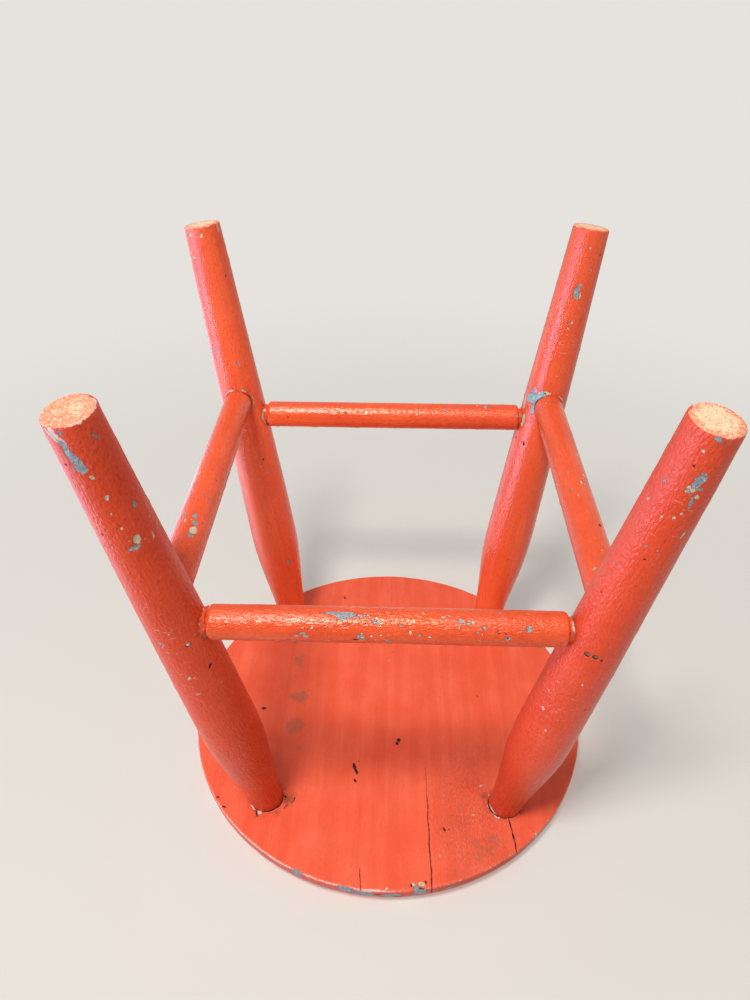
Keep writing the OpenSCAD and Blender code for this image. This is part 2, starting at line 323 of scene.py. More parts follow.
def patches(u, v, marks, radius=None):
    """How far inside the nearest mark a point is, in mm, and negative beyond all of them.
    A mark is an ellipse (u, v, length along v, width along u, lean). With a radius, u is an
    angle round a turned piece."""
    inside = np.full(u.shape, FAR_OUTSIDE)
    for mark_u, mark_v, length, width, lean in marks:
        du, dv = u - mark_u, v - mark_v
        if radius is not None:
            du = turned_from(u, mark_u) * radius
        c, s = np.cos(np.radians(lean)), np.sin(np.radians(lean))
        reach = np.hypot((du * c - dv * s) / (width / 2), (du * s + dv * c) / (length / 2))
        inside = np.maximum(inside, (1 - reach) * min(width, length) / 2)
    return inside


def dent(inside, depth, edge=0.5):
    """How far a chipped patch lies below the paint round it."""
    return depth * smooth((inside + edge / 2) / edge)


def strewn(rng, count, low, high, size_mm):
    """Small chips at random places, most of them smaller than the size and a few larger.
    low and high are the corners of where they may lie, as (u, v)."""
    size = size_mm * (0.4 + rng.pareto(3.0, count)).clip(0.4, 2.4)
    return np.stack([rng.uniform(low[0], high[0], count), rng.uniform(low[1], high[1], count),
                     size * rng.uniform(0.8, 1.9, count), size, rng.uniform(-60, 60, count)], -1)


def grid_faces(rows, columns, closed):
    """Four-cornered faces between neighbouring rows and columns of points."""
    i = np.arange(rows - 1)[:, None]
    j = np.arange(columns if closed else columns - 1)[None, :]
    k = (j + 1) % columns
    corners = [i * columns + j, i * columns + k, (i + 1) * columns + k, (i + 1) * columns + j]
    return np.stack(corners, -1).reshape(-1, 4)


def capped(rows):
    """The rows of a tube with one more at each end, where its points meet in their middle."""
    first, last = (np.repeat(rows[i].mean(0)[None, None], rows.shape[1], 1) for i in (0, -1))
    return np.concatenate([first, rows, last])


def new_object(name, data):
    """An object in the scene, at the origin."""
    thing = bpy.data.objects.new(name, data)
    bpy.context.scene.collection.objects.link(thing)
    return thing


def make_mesh(name, points, faces):
    """A welded mesh object whose faces point outwards."""
    mesh = bpy.data.meshes.new(name)
    mesh.from_pydata(points.reshape(-1, 3) * MM, [], faces)
    bm = bmesh.new()
    bm.from_mesh(mesh)
    bmesh.ops.remove_doubles(bm, verts=bm.verts, dist=0.002 * MM)
    bmesh.ops.recalc_face_normals(bm, faces=bm.faces)
    bm.to_mesh(mesh)
    bm.free()
    return new_object(name, mesh)


def cut(piece, cutters):
    """Takes the cutters' shapes out of the piece and removes them."""
    for cutter in cutters:
        trim = piece.modifiers.new("cut", "BOOLEAN")
        trim.operation = "DIFFERENCE"
        trim.solver = "MANIFOLD"
        trim.object = cutter
    bpy.context.view_layer.update()
    shown = piece.evaluated_get(bpy.context.evaluated_depsgraph_get())
    mesh = bpy.data.meshes.new_from_object(shown)
    piece.modifiers.clear()
    piece.data = mesh
    for cutter in cutters:
        bpy.data.objects.remove(cutter)


def points_of(piece):
    """The piece's points in millimetres, one row each."""
    flat = np.empty(len(piece.data.vertices) * 3)
    piece.data.vertices.foreach_get("co", flat)
    return flat.reshape(-1, 3) / MM


def keep_fields(piece, brushed, fields):
    """Stores what the paint reads at each point: its place across, across and along the brush's
    strokes in mm, and how far inside each kind of damage it is."""
    piece.data.attributes.new("brushed", "FLOAT_VECTOR", "POINT").data.foreach_set(
        "vector", brushed.astype(np.float32).ravel())
    for name, values in fields.items():
        piece.data.attributes.new(name, "FLOAT", "POINT").data.foreach_set(
            "value", values.astype(np.float32))


class CentreLine:
    """The line through a turned piece and the direction that its angles are measured from."""

    def __init__(self, start, along, zero):
        self.start = start
        self.along = along
        self.zero = zero
        self.aside = np.cross(along, zero)

    def place(self, w, r, turn):
        """The point at distance w along the line, distance r from it and angle turn round it."""
        radial = np.cos(turn)[..., None] * self.zero + np.sin(turn)[..., None] * self.aside
        return self.start + np.asarray(w)[..., None] * self.along + np.asarray(r)[..., None] * radial

    def measure(self, points):
        """Distance along the line, distance from it and angle round it, for each point."""
        rel = points - self.start
        x, y = rel @ self.zero, rel @ self.aside
        return rel @ self.along, np.hypot(x, y), np.arctan2(y, x)


class Leg(CentreLine):
    """A leg's line, from the floor up, with angles from its outward side."""

    def __init__(self, side_x, side_y):
        side = np.array([side_x, side_y])
        foot = np.append(side * LEG_FLOOR, 0.0)
        seat = np.append(side * LEG_SEAT, SEAT_UNDER)
        up = unit(seat - foot)
        outward = (foot - seat) * [1, 1, 0]
        super().__init__(foot, up, unit(outward - outward @ up * up))


LEGS = {
    "front_left_leg": Leg(-1, -1),
    "front_right_leg": Leg(1, -1),
    "back_left_leg": Leg(-1, 1),
    "back_right_leg": Leg(1, 1),
}


def leg_radius(w):
    """Straight at the tenon, a cosine swell down to the belly, then a taper that quickens
    towards the foot."""
    drop = LEG_L - np.asarray(w, float)
    swell = NECK_R + (BELLY_R - NECK_R) / 2 * (1 - np.cos(np.pi * np.clip(drop / BELLY_DROP, 0, 1)))
    share = np.clip((drop - BELLY_DROP) / (LEG_L - BELLY_DROP - FOOT_CUT), 0, 1)
    taper = BELLY_R - (BELLY_R - FOOT_R) * share ** TAPER_POWER
    return np.where(drop < BELLY_DROP, swell, taper)


class Rail(CentreLine):
    """A stretcher's line, from its middle, along X or Y, with angles from its lower side."""

    def __init__(self, axis, side, z, r, sink):
        x, y = LEG_FLOOR + (LEG_SEAT - LEG_FLOOR) * z / SEAT_UNDER
        half = (x, y)[axis]
        leg_r = float(leg_radius(z / LEGS["front_left_leg"].along[2]))
        middle = np.array([0, side * y, z]) if axis == 0 else np.array([side * x, 0, z])
        super().__init__(middle, np.eye(3)[axis], np.array([0, 0, -1.0]))
        self.r = r
        self.tip = half + 2.0
        self.shoulder = half - leg_r + sink


RAILS = {
    "front_stretcher": Rail(0, -1, CROSS_Z, CROSS_R, -CROSS_STANDOFF),
    "back_stretcher": Rail(0, 1, CROSS_Z, CROSS_R, -CROSS_STANDOFF),
    "left_stretcher": Rail(1, -1, SIDE_Z, SIDE_R, SIDE_SINK),
    "right_stretcher": Rail(1, 1, SIDE_Z, SIDE_R, SIDE_SINK),
}


def brad_spots(name):
    """Where a leg's brads enter it, and which way their heads face."""
    offsets = {"front_left_leg": (-BRAD_OFFSET, BRAD_OFFSET),
               "front_right_leg": (-BRAD_OFFSET,)}.get(name, ())
    leg = LEGS[name]
    centre = leg.start + leg.along * BRAD_Z / leg.along[2]
    turn = np.radians(-BRAD_TURN) * np.sign(leg.start[0])
    out = np.array([np.sin(turn), -np.cos(turn), 0])
    sideways = np.array([np.cos(turn), np.sin(turn), 0])
    leg_r = float(leg_radius(BRAD_Z / leg.along[2]))
    depths = [np.sqrt(leg_r ** 2 - off ** 2) - BRAD_PIT_DEPTH for off in offsets]
    return [(centre + sideways * off + out * depth, out) for off, depth in zip(offsets, depths)]


def paint_relief(turn, along, r, seed):
    """Height of many brushed coats on a turned piece, in mm: a hand-turned waver, ridges that
    the brush left along it, creases across it in patches, and beads where paint ran or dried."""
    cells = [max(3, round(2 * np.pi * r / size)) for size in (22.0, 1.9, 9.0, 12.0, 3.2, 8.0)]
    waver = 0.10 * ring_noise(turn, along, cells[0], 42.0, seed)
    ridges = 0.035 * ring_noise(turn, along, cells[1], 26.0, seed + 1)
    where = smooth(ring_noise(turn, along, cells[3], 21.0, seed + 2) * 1.6 - 0.1)
    creases = 0.055 * where * ring_noise(turn, along, cells[2], 1.7, seed + 3)
    beads = 0.5 * np.maximum(0, ring_noise(turn, along, cells[4], 3.8, seed + 4) - 0.55)
    runs = 0.30 * np.maximum(0, ring_noise(turn, along, cells[5], 34.0, seed + 5) - 0.45)
    return waver + ridges + creases + beads * (0.35 + where) + runs


def rail_clearance(points, name):
    """Distance of each point of a leg from the side of the nearest rail that enters it. A cross
    rail enters with its tenon and a side rail at its full thickness."""
    nearest = FAR_CLEAR
    for rail, entering in (
            (RAILS["front_stretcher" if "front" in name else "back_stretcher"], TENON_R),
            (RAILS["left_stretcher" if "left" in name else "right_stretcher"], SIDE_R)):
        along, r, _ = rail.measure(points)
        facing = np.abs(along) < rail.tip - 6
        nearest = np.minimum(nearest, np.where(facing, r - entering, FAR_CLEAR))
    return nearest


def brad_pit(place, out):
    """A short cone that takes the paint off round a brad's head: rows from its narrow end."""
    wide = BRAD_PIT_R
    first = unit(np.cross(out, [0, 0, 1.0]))
    second = np.cross(out, first)
    turn = np.arange(24) * np.pi / 12
    ring = np.cos(turn)[:, None] * first + np.sin(turn)[:, None] * second
    rows = [place + out * h + ring * r
            for h, r in ((-0.7, 0), (-0.7, wide * 0.7), (0.2, wide), (3.0, wide * 1.5), (3.0, 0))]
    return make_mesh("brad_pit", np.stack(rows), grid_faces(5, 24, True))


def lathe_grid(rows, cells):
    """Height, radius and angle of each point of a turned piece, before it is placed: rows of
    (height, radius), each of which goes once round in so many cells."""
    turn = np.arange(cells) * 2 * np.pi / cells
    return np.broadcast_arrays(rows[:, :1], rows[:, 1:], turn)


def leg_shape(name, seed):
    """A turned leg: rows from the middle of the foot's end out over its arris, up the side to
    the seat's top and in to the middle of the tenon's end. Each row goes once round."""
    leg = LEGS[name]
    face = [(FOOT_CUT, r) for r in np.linspace(0, FOOT_R - FOOT_ARRIS, 17)]
    arris = [(FOOT_CUT + FOOT_ARRIS * (1 - np.cos(a)), FOOT_R - FOOT_ARRIS * (1 - np.sin(a)))
             for a in np.radians([20, 45, 70, 90])]
    side_w = np.arange(FOOT_CUT + 1.6 * FOOT_ARRIS, LEG_L + 2, LEG_STEP)
    side = np.stack([side_w, leg_radius(side_w)], -1)
    w, r, turns = lathe_grid(np.vstack([face, arris, side]), LEG_TURN_CELLS)

    on_side = smooth((w - FOOT_CUT) / FOOT_ARRIS) * smooth((LEG_L + 1 - w) / 3)
    coat = paint_relief(turns, w, LEG_MEAN_R, seed)
    for layer, depth in LEG_CHIP_DEPTHS.items():
        coat = coat - dent(patches(turns, w, CHIPS[name][layer], leg_radius(w)), depth)
    clear = rail_clearance(leg.place(w, r, turns), name)
    lip = 0.30 * (0.7 + 0.5 * ring_noise(turns, w, 40, 2.2, seed + 7)) * np.exp(-(clear / 1.1) ** 2)
    grain = 0.12 * unevenness(r * np.cos(turns) / 0.9, r * np.sin(turns) / 0.9, seed + 8)
    points = leg.place(w - grain * (w <= FOOT_CUT), r + (coat + lip) * on_side, turns)

    # The tenon goes on from the last row to the seat's top, and its end is level
    turn = turns[0]
    level = SEAT_TOP - TENON_DROP
    lift = np.cos(turn) * leg.zero[2] + np.sin(turn) * leg.aside[2]
    last_w = side_w[-1]
    end_w = (level - lift * NECK_R) / leg.along[2]
    tenon = [leg.place(last_w + (end_w - last_w) * share, NECK_R + 0 * turn, turn)
             for share in np.linspace(0.2, 1, 7)]
    for share in (0.93, 0.8, 0.6, 0.4, 0.2, 0.0):
        ring = NECK_R * share + 0 * turn
        dome = TENON_DROP * 0.5 * (1 - share ** 2)
        tenon.append(leg.place((level + dome - lift * ring) / leg.along[2], ring, turn))
    points = np.concatenate([points, np.stack(tenon)])
    points[..., 2] = np.maximum(points[..., 2], 0.0)
    piece = make_mesh(name + "_painted", points, grid_faces(len(points), turn.size, True))
    cut(piece, [brad_pit(*spot) for spot in brad_spots(name)])
    return piece


def rail_shape(name, seed):
    """A turned rail: rows along it from one tenon's tip to the other's, over both shoulders."""
    rail = RAILS[name]
    neck_v = np.linspace(-rail.tip + 0.5, -rail.shoulder, 24)
    neck = np.stack([neck_v, TENON_R + 0 * neck_v], -1)
    corner = rail.r - SHOULDER_ROUND
    ledge = [(-rail.shoulder, r) for r in np.linspace(TENON_R + 0.3, corner, 4)[:-1]]
    bend = [(-rail.shoulder + SHOULDER_ROUND * (1 - np.cos(a)), corner + SHOULDER_ROUND * np.sin(a))
            for a in np.radians([0, 18, 36, 54, 72, 90])]
    body_v = np.arange(-rail.shoulder + SHOULDER_ROUND + 0.5, 0, RAIL_STEP)
    body = np.stack([body_v, rail.r + 0 * body_v], -1)
    half = np.vstack([[(-rail.tip, 0), (-rail.tip, TENON_R)], neck, ledge, bend, body])
    v, r, turns = lathe_grid(np.vstack([half, half[::-1] * [-1, 1]]), RAIL_TURN_CELLS)

    on_body = smooth((r - TENON_R) / 2.0)
    coat = paint_relief(turns, v, rail.r, seed) * (0.25 + 0.75 * on_body) * (r > 0)
    for layer, depth in RAIL_CHIP_DEPTHS.items():
        coat = coat - dent(patches(turns, v, CHIPS[name][layer], rail.r), depth) * on_body
    torn = TORN_PAINT[name] * smooth((v - rail.shoulder + 0.2) / 0.8) * (0.62 + 0.38 * ring_noise(
        turns, v, 26, 1.1, seed + 9))
    points = rail.place(v, r + (coat + torn) * (r > 0), turns)
    return make_mesh(name + "_painted", points, grid_faces(len(points), RAIL_TURN_CELLS, True))


def disc_grid(cells):
    """A square grid bent to a disc of radius 1: each square ring of points becomes a circle,
    at the angle pi/4 times the share of the way along the square's side."""
    a = np.linspace(-1, 1, cells + 1)
    x, y = np.meshgrid(a, a, indexing="ij")
    wide = np.abs(x) > np.abs(y)
    r = np.where(wide, x, y)
    ratio = np.divide(np.where(wide, y, x), r, out=np.zeros_like(r), where=r != 0)
    angle = np.where(wide, np.pi / 4 * ratio, np.pi / 2 - np.pi / 4 * ratio)
    return np.stack([r * np.cos(angle), r * np.sin(angle)], -1)


def disc_edge(cells):
    """Places in the flattened grid of the points round its edge, in order."""
    k, n = np.arange(cells), cells + 1
    return np.concatenate([k * n, cells * n + k, (cells - k) * n + cells, cells - k])


def hole_clearance(x, y, z):
    """Distance from each point to the side of the nearest leg, where that leg crosses height z."""
    points = np.stack([x, y, np.broadcast_to(z, x.shape)], -1)
    return np.min([leg.measure(points)[1] for leg in LEGS.values()], axis=0) - NECK_R


def joint_opening(y):
    """How wide the glued joint has opened: a hair's width, and more towards the front rim."""
    return 0.03 + JOINT_GAP * smooth((JOINT_STARTS - y) / (SEAT_R + JOINT_STARTS)) ** 0.8


def joint_path(y):
    """Where the joint runs: nearly along the grain, with a slight wander towards the front."""
    slant = np.interp(y, [-SEAT_R, -15, 40], [-1.5, 1.8, 0.0])
    return JOINT_X + slant + 0.35 * unevenness(y / 9.0, 0 * y, 41) * smooth((-20 - y) / 60)


def scuff_share(x, y):
    """How scuffed the underside is: most on the narrow board, from its joint to the front leg."""
    where = smooth(1.25 - np.hypot((x + 62) / 36, (y + 96) / 62))
    return where * smooth((JOINT_X + 1 - x) / 2) * (0.75 + 0.25 * unevenness(x / 9, y / 9, 27))


def underside_relief(x, y):
    """How far the painted underside stands below its plane, in mm: boards that have cupped,
    ridges of a brush run along the grain, a scuffed patch, and the lip of paint round each leg."""
    cupped = 0.16 * unevenness(x / 55, y / 80, 21)
    ridges = 0.030 * unevenness(x / 2.4, y / 38, 22) + 0.02 * unevenness(x / 5.5, y / 11, 23)
    scratched = 0.05 * scuff_share(x, y) * unevenness((x + y) / 1.9, (x - y) / 7, 24)
    blobs = 0.35 * np.maximum(0, unevenness(x / 4.2, y / 4.6, 25) - 0.68)
    clear = hole_clearance(x, y, SEAT_UNDER)
    creased = 0.75 + 0.5 * unevenness(x / 2.2, y / 2.2, 26)
    lip = 0.42 * creased * np.exp(-(np.maximum(clear, 0) / 2.0) ** 2)
    sunken = 0.16 * np.exp(-((x - joint_path(y)) / 1.6) ** 2) * smooth((JOINT_STARTS + 30 - y) / 60)
    height = cupped + ridges + scratched + blobs + lip - sunken
    for place, size, proud in PAINT_BLOBS:
        height = height + proud * np.exp(-((x - place[0]) ** 2 + (y - place[1]) ** 2) / size ** 2)
    for layer, depth in UNDERSIDE_CHIP_DEPTHS.items():
        height = height - dent(patches(x, y, SEAT_CHIPS[layer]), depth, 0.8)
    return height


def top_relief(x, y):
    """How far the painted top lies below its plane, in mm. It is never above it."""
    dished = 0.5 * smooth(1.1 - np.hypot(x, y) / SEAT_R)
    ridges = 0.03 * unevenness(x / 2.4, y / 38, 31) + 0.05 * unevenness(x / 7, y / 12, 32)
    cupped = 0.12 * unevenness(x / 50, y / 75, 33)
    rubbed = 0.06 * smooth(unevenness(x / 16, y / 30, 34) * 2)
    crack = 0.22 * np.exp(-(hole_clearance(x, y, SEAT_TOP) / 1.3) ** 2)
    sunken = 0.18 * np.exp(-((x - joint_path(y)) / 1.6) ** 2)
    depth = 0.3 + dished + ridges + cupped + rubbed + crack + sunken
    for layer, deep in TOP_CHIP_DEPTHS.items():
        depth = depth + dent(patches(x, y, TOP_CHIPS[layer]), deep, 0.8)
    return np.maximum(depth, 0.02)


def seat_blank():
    """The whole round seat: a disc grid under it, rows round its rim from the underside's
    arris up over the top's round, and a disc grid on top."""
    disc, edge = disc_grid(SEAT_CELLS).reshape(-1, 2), disc_edge(SEAT_CELLS)
    under_xy, top_xy = disc * (SEAT_R - UNDER_ROUND), disc * (SEAT_R - TOP_ROUND)
    under = np.column_stack([under_xy, SEAT_UNDER - underside_relief(*under_xy.T)])
    top = np.column_stack([top_xy, SEAT_TOP - top_relief(*top_xy.T)])
    toward = disc[edge]
    arris = [(UNDER_ROUND * (1 - np.sin(a)), SEAT_UNDER + UNDER_ROUND * (1 - np.cos(a)))
             for a in np.radians([30, 60, 90])]
    band = [(0.0, SEAT_UNDER + rise) for rise in (2, 3, 4)]
    bend = [(TOP_ROUND * (1 - np.cos(a)), SEAT_TOP - TOP_ROUND * (1 - np.sin(a)))
            for a in np.radians([0, 8, 16, 24, 32, 40, 48, 56, 64, 72, 81])]
    angle = np.arctan2(toward[:, 1], toward[:, 0])
    rings = [under[edge]]
    for inset, z in arris + band + bend:
        worn = 0.12 * (1 + ring_noise(angle, z + 0 * angle, 190, 2.5, 51))
        knocks = 0.5 * np.maximum(0, ring_noise(angle, z + 0 * angle, 100, 6.0, 52) - 0.4)
        share = smooth((z - SEAT_UNDER - 1) / (SEAT_TOP - SEAT_UNDER - 1))
        slack = (1 - share) * (under[edge, 2] - SEAT_UNDER) + share * (top[edge, 2] - SEAT_TOP)
        ring_r = SEAT_R - 0.05 - inset - worn - knocks
        rings.append(np.column_stack([toward * ring_r[:, None], z + slack]))
    rings.append(top[edge])
    rim = np.stack(rings)
    flat = grid_faces(SEAT_CELLS + 1, SEAT_CELLS + 1, False)
    sides = grid_faces(len(rings), len(edge), True) + len(under)
    upper = flat + len(under) + rim.shape[0] * rim.shape[1]
    points = np.vstack([under, rim.reshape(-1, 3), top])
    return make_mesh("seat_blank", points, np.vstack([flat, sides, upper]))


def joint_cutter(side):
    """A block that takes away one side of the seat, up to the joint's wandering face."""
    y = np.arange(-SEAT_R - 8, SEAT_R + 9, 1.5)
    face_x = joint_path(y) + side * joint_opening(y) / 2
    far_x = -side * (SEAT_R + 10) + 0 * y
    low, high = SEAT_UNDER - 5, SEAT_TOP + 5
    loop = [(face_x, low), (face_x, high), (far_x, high), (far_x, low)]
    points = capped(np.stack([np.stack([x, y, z + 0 * y], -1) for x, z in loop], 1))
    return make_mesh("joint_cutter", points, grid_faces(len(points), 4, True))


def bore_cutter(name):
    """The hole for a leg: its neck's size and a little more, gaping where the photograph
    shows a gap at the underside."""
    leg, (gape, toward, spread) = LEGS[name], BORE_GAPES[name]
    turn = np.arange(120) * np.pi / 60
    open_mm = gape * np.exp(-(turned_from(turn, toward) / np.radians(spread)) ** 2)
    ragged = 0.10 * (1 + ring_noise(turn, 0 * turn, 40, 1.0, 61))
    rows = []
    for w in (-16, -6, -2, 0, 2, 5, 10, 22):
        r = float(leg_radius(LEG_L + min(w, 0))) + 0.06 + (open_mm + ragged) * smooth(1 - w / 6)
        rows.append(leg.place(LEG_L + w + 0 * turn, r, turn))
    caps = [leg.place(LEG_L + w + 0 * turn, 0 * turn, turn) for w in (-16, 22)]
    points = np.stack([caps[0], *rows, caps[1]])
    return make_mesh("bore_cutter", points, grid_faces(len(points), turn.size, True))


def crack_cutter(path, width, depths):
    """A thin V pressed into the underside along a path: its mouth lies just below the seat,
    and its edge runs at a depth that grows along the path."""
    path = np.array(path, float)
    run = np.concatenate([[0], np.cumsum(np.linalg.norm(np.diff(path, axis=0), axis=1))])
    s = np.arange(0, run[-1], 0.8)
    x, y = np.interp(s, run, path[:, 0]), np.interp(s, run, path[:, 1])
    x = x + 0.18 * unevenness(s / 3.4, 0 * s, 71)
    deep = np.interp(s, [0, run[-1]], depths)
    half = width / 2 * (0.6 + 0.4 * unevenness(s / 3.0, 0 * s, 72)) * smooth(s / 4 + 0.15)
    spread = half * (deep + 1.2) / deep
    mouth = SEAT_UNDER - 1.2 + 0 * s
    loop = [(x - spread, mouth), (x + spread, mouth), (x, SEAT_UNDER + deep)]
    points = capped(np.stack([np.stack([side, y, z], -1) for side, z in loop], 1))
    return make_mesh("crack_cutter", points, grid_faces(len(points), 3, True))


def paint_leg(piece, name):
    """Stores the damage fields of a leg. The foot's arris is rubbed bare, and painted shade darkens
    the corners where rails and the seat meet it, and the front legs towards the seat."""
    leg, points = LEGS[name], points_of(piece)
    w, r, turn = leg.measure(points)
    fields = {layer: patches(turn, w, CHIPS[name].get(layer, ()), leg_radius(w))
              for layer in (*LAYERS, "wear", "smudge")}
    for place, out in brad_spots(name):
        rel = points - place
        height = rel @ out
        away = np.linalg.norm(rel - height[:, None] * out, axis=1)
        gone = np.where(height > -3, BRAD_PIT_R + 0.05 - away, FAR_OUTSIDE)
        fields["pit"] = np.maximum(fields["pit"], gone)
    # Painted shade on the leg inside the seat's bore and where the rails enter it
    seat_bore_shade = np.minimum(points[:, 2] - SEAT_UNDER - 0.1, SEAT_TOP - 0.7 - points[:, 2])
    clear = rail_clearance(points, name)
    fields["seam_and_shade"] = np.maximum(0.05 - clear, seat_bore_shade)
    lip = 0.55 * ring_noise(turn, w, 24, 7.0, 94) - np.abs(clear - 1.3)
    fields["cream"] = np.maximum(fields["cream"], lip + 0.15)
    foot_ring = 0.35 + 1.1 * ring_noise(turn, 0 * w, 9, 1.0, 95) - (w - FOOT_CUT)
    fields["wear"] = np.maximum(fields["wear"], foot_ring)
    at_seat = (SEAT_UNDER - points[:, 2]) / 3.0
    # Painted shade in the corners where the rails and the seat meet the leg
    fields["painted_shade_and_dark_spots"] = 0.4 * np.exp(-(clear / 2.4) ** 2) + 0.5 * np.exp(-at_seat ** 2)
    # Painted shade: the front legs are darker towards the seat
    if "front" in name:
        fields["painted_shade_and_dark_spots"] = fields["painted_shade_and_dark_spots"] + 0.26 * smooth((points[:, 2] - 200) / 100)
    fields["scuff"] = 0.35 * smooth((70 - w) / 50)
    at_turn, at_w, turn_reach, w_reach = LEG_CREASES[name]
    off = turned_from(turn, at_turn) / np.radians(turn_reach)
    near = smooth(1.4 - np.hypot(off, (w - at_w) / w_reach))
    fields["wrinkle"] = 0.05 + 0.2 * smooth(ring_noise(turn, w, 6, 30.0, 92) * 2) + 0.45 * near
    fields["scratched"] = smooth(1.6 * near + ring_noise(turn, w, 4, 50.0, 96))
    keep_fields(piece, np.stack([r * np.cos(turn), r * np.sin(turn), w], -1), fields)


def paint_rail(piece, name):
    """Stores the damage fields of a rail. Painted shade darkens the corner where its necks begin
    and its ends near the legs, and bare wood shows in patches on its shoulders' faces."""
    rail, points = RAILS[name], points_of(piece)
    v, r, turn = rail.measure(points)
    fields = {layer: patches(turn, v, CHIPS[name].get(layer, ()), rail.r)
              for layer in (*LAYERS, "smudge")}
    # Painted shade in the corner where each neck meets its shoulder, and where the rail meets a leg
    fields["seam_and_shade"] = 0.15 - np.hypot(np.abs(v) - rail.shoulder, r - TENON_R) / 2
    fields["painted_shade_and_dark_spots"] = 0.0 * v
    for leg in LEGS.values():
        w, leg_r, _ = leg.measure(points)
        clear = leg_r - leg_radius(w)
        fields["seam_and_shade"] = np.maximum(fields["seam_and_shade"], 0.15 - clear)
        # Painted shade where the rail meets a leg
        fields["painted_shade_and_dark_spots"] = fields["painted_shade_and_dark_spots"] + 0.5 * np.exp(-(clear / 2.0) ** 2)
    fields["wear"] = 0.15 - np.abs(np.abs(v) - rail.shoulder - 0.1) - 4.0 * (r < rail.r - 2.5)
    fields["scuff"] = 0.3 * smooth(ring_noise(turn, v, 5, 40.0, 91) * 2)
    fields["wrinkle"] = WRINKLES[name] * (0.75 + 0.25 * ring_noise(turn, v, 6, 25.0, 93))
    fields["scratched"] = 0.0 * v
    keep_fields(piece, np.stack([r * np.cos(turn), r * np.sin(turn), v], -1), fields)


def paint_seat(piece):
    """Stores the damage fields of a seat board. Its lower arris is rubbed pale most at the front,
    where the photograph shows it, with a thinner pale line of painted highlight on either side, and
    its top's round in patches. Painted shade darkens the rim's side and the paint round each leg."""
    points = points_of(piece)
    x, y, z = points.T
    rho, angle = np.hypot(x, y), np.arctan2(y, x)
    below = z < SEAT_UNDER + 6
    fields = {layer: np.where(below, patches(x, y, SEAT_CHIPS.get(layer, ())),
                              patches(x, y, TOP_CHIPS.get(layer, ())))
              for layer in (*LAYERS, "smudge")}
    # Painted shade on the walls inside the seat, in its bores, cracks and open joint, and a dark line
    # along the joint
    round_depth = TOP_ROUND - np.hypot(np.maximum(rho - SEAT_R + TOP_ROUND, 0),
                                       np.maximum(z - SEAT_TOP + TOP_ROUND, 0))
    within = np.minimum(z - SEAT_UNDER - 0.3, round_depth - 1.3)
    joint = joint_opening(y) / 2 + 0.05 - np.abs(x - joint_path(y))
    joint = joint - 0.3 * smooth((y - JOINT_STARTS + 25) / 50)
    crevice = np.maximum(0.12 - hole_clearance(x, y, z), joint)
    fields["seam_and_shade"] = np.maximum(within, crevice)
    # How pale the underside's arris is round the rim: rubbed paint most at the front, and on either
    # side of it a thin pale line that is painted highlight
    turned = np.degrees(angle)
    rubbed = np.interp(turned, [-180, -140, -110, -96, -88, -46, -40, -20, 0, 180],
                       [0.15, 0.3, 0.4, 0.5, 1.1, 1.0, 0.5, 0.35, 0.15, 0.15])
    arris = 0.6 * rubbed - 0.2 - np.hypot(rho - SEAT_R + 0.4, z - SEAT_UNDER - 0.3)
    on_round = (z > SEAT_UNDER + 6) & (rho > SEAT_R - TOP_ROUND - 3)
    patch = 1.8 * (ring_noise(angle, z, 46, 9.0, 53) - 0.42) + 0.8 * ring_noise(angle, z, 130, 3.0, 54)
    patch = patch - 0.3 * np.abs(z - SEAT_TOP + 4.5)
    crust = 0.8 * unevenness(x / 2.2, y / 2.2, 55) - np.abs(hole_clearance(x, y, z) - 0.9) - 0.3
    for name, (much, toward, spread) in CRUSTS.items():
        _, leg_r, turn = LEGS[name].measure(points)
        thick = much * np.exp(-(turned_from(turn, toward) / np.radians(spread)) ** 2)
        crust = crust + np.where(leg_r < NECK_R + 5, thick, 0)
    on_side = (rho > SEAT_R - 2) & (z > SEAT_UNDER + 1)
    for layer, marks in RIM_CHIPS.items():
        shown = np.where(on_side, patches(angle, z, marks, SEAT_R), FAR_OUTSIDE)
        fields[layer] = np.maximum(fields[layer], shown)
    # Painted shade round the legs and on the rim's side, and darker spots beside the front legs
    side = smooth((rho - SEAT_R + 2.5) / 1.5) * smooth((z - SEAT_UNDER - 1) / 1.5)
    fields["painted_shade_and_dark_spots"] = 0.5 * np.exp(-(hole_clearance(x, y, z) / 2.6) ** 2)
    fields["painted_shade_and_dark_spots"] = np.maximum(fields["painted_shade_and_dark_spots"], 0.55 * side * smooth((SEAT_TOP - 3 - z) / 4))
    for place, size, strength in DARK_SPOTS:
        dirt = strength * np.exp(-((x - place[0]) ** 2 + (y - place[1]) ** 2) / size ** 2)
        fields["painted_shade_and_dark_spots"] = np.maximum(fields["painted_shade_and_dark_spots"], np.where(below, dirt, 0))
    fields["wear"] = np.maximum(arris, np.where(on_round, patch, FAR_OUTSIDE))
    for marked in (patches(x, y, SEAT_CHIPS["wear"]), crust):
        fields["wear"] = np.maximum(fields["wear"], np.where(below, marked, FAR_OUTSIDE))
    fields["scuff"] = np.where(below, scuff_share(x, y), 0.55 * smooth(1.2 - rho / 130))
    fields["wrinkle"] = np.where(below, 0.08 + 0.5 * scuff_share(x, y), 0.12)
    fields["scratched"] = np.where(below, 0.0, 0.4)
    keep_fields(piece, np.stack([x, z, y], -1), fields)


def colour(hex_code):
    """A colour as written on screen, turned into linear light."""
    srgb = np.array([int(hex_code[i:i + 2], 16) for i in (1, 3, 5)]) / 255
    linear = np.where(srgb <= 0.04045, srgb / 12.92, ((srgb + 0.055) / 1.055) ** 2.4)
    return (*linear.tolist(), 1.0)


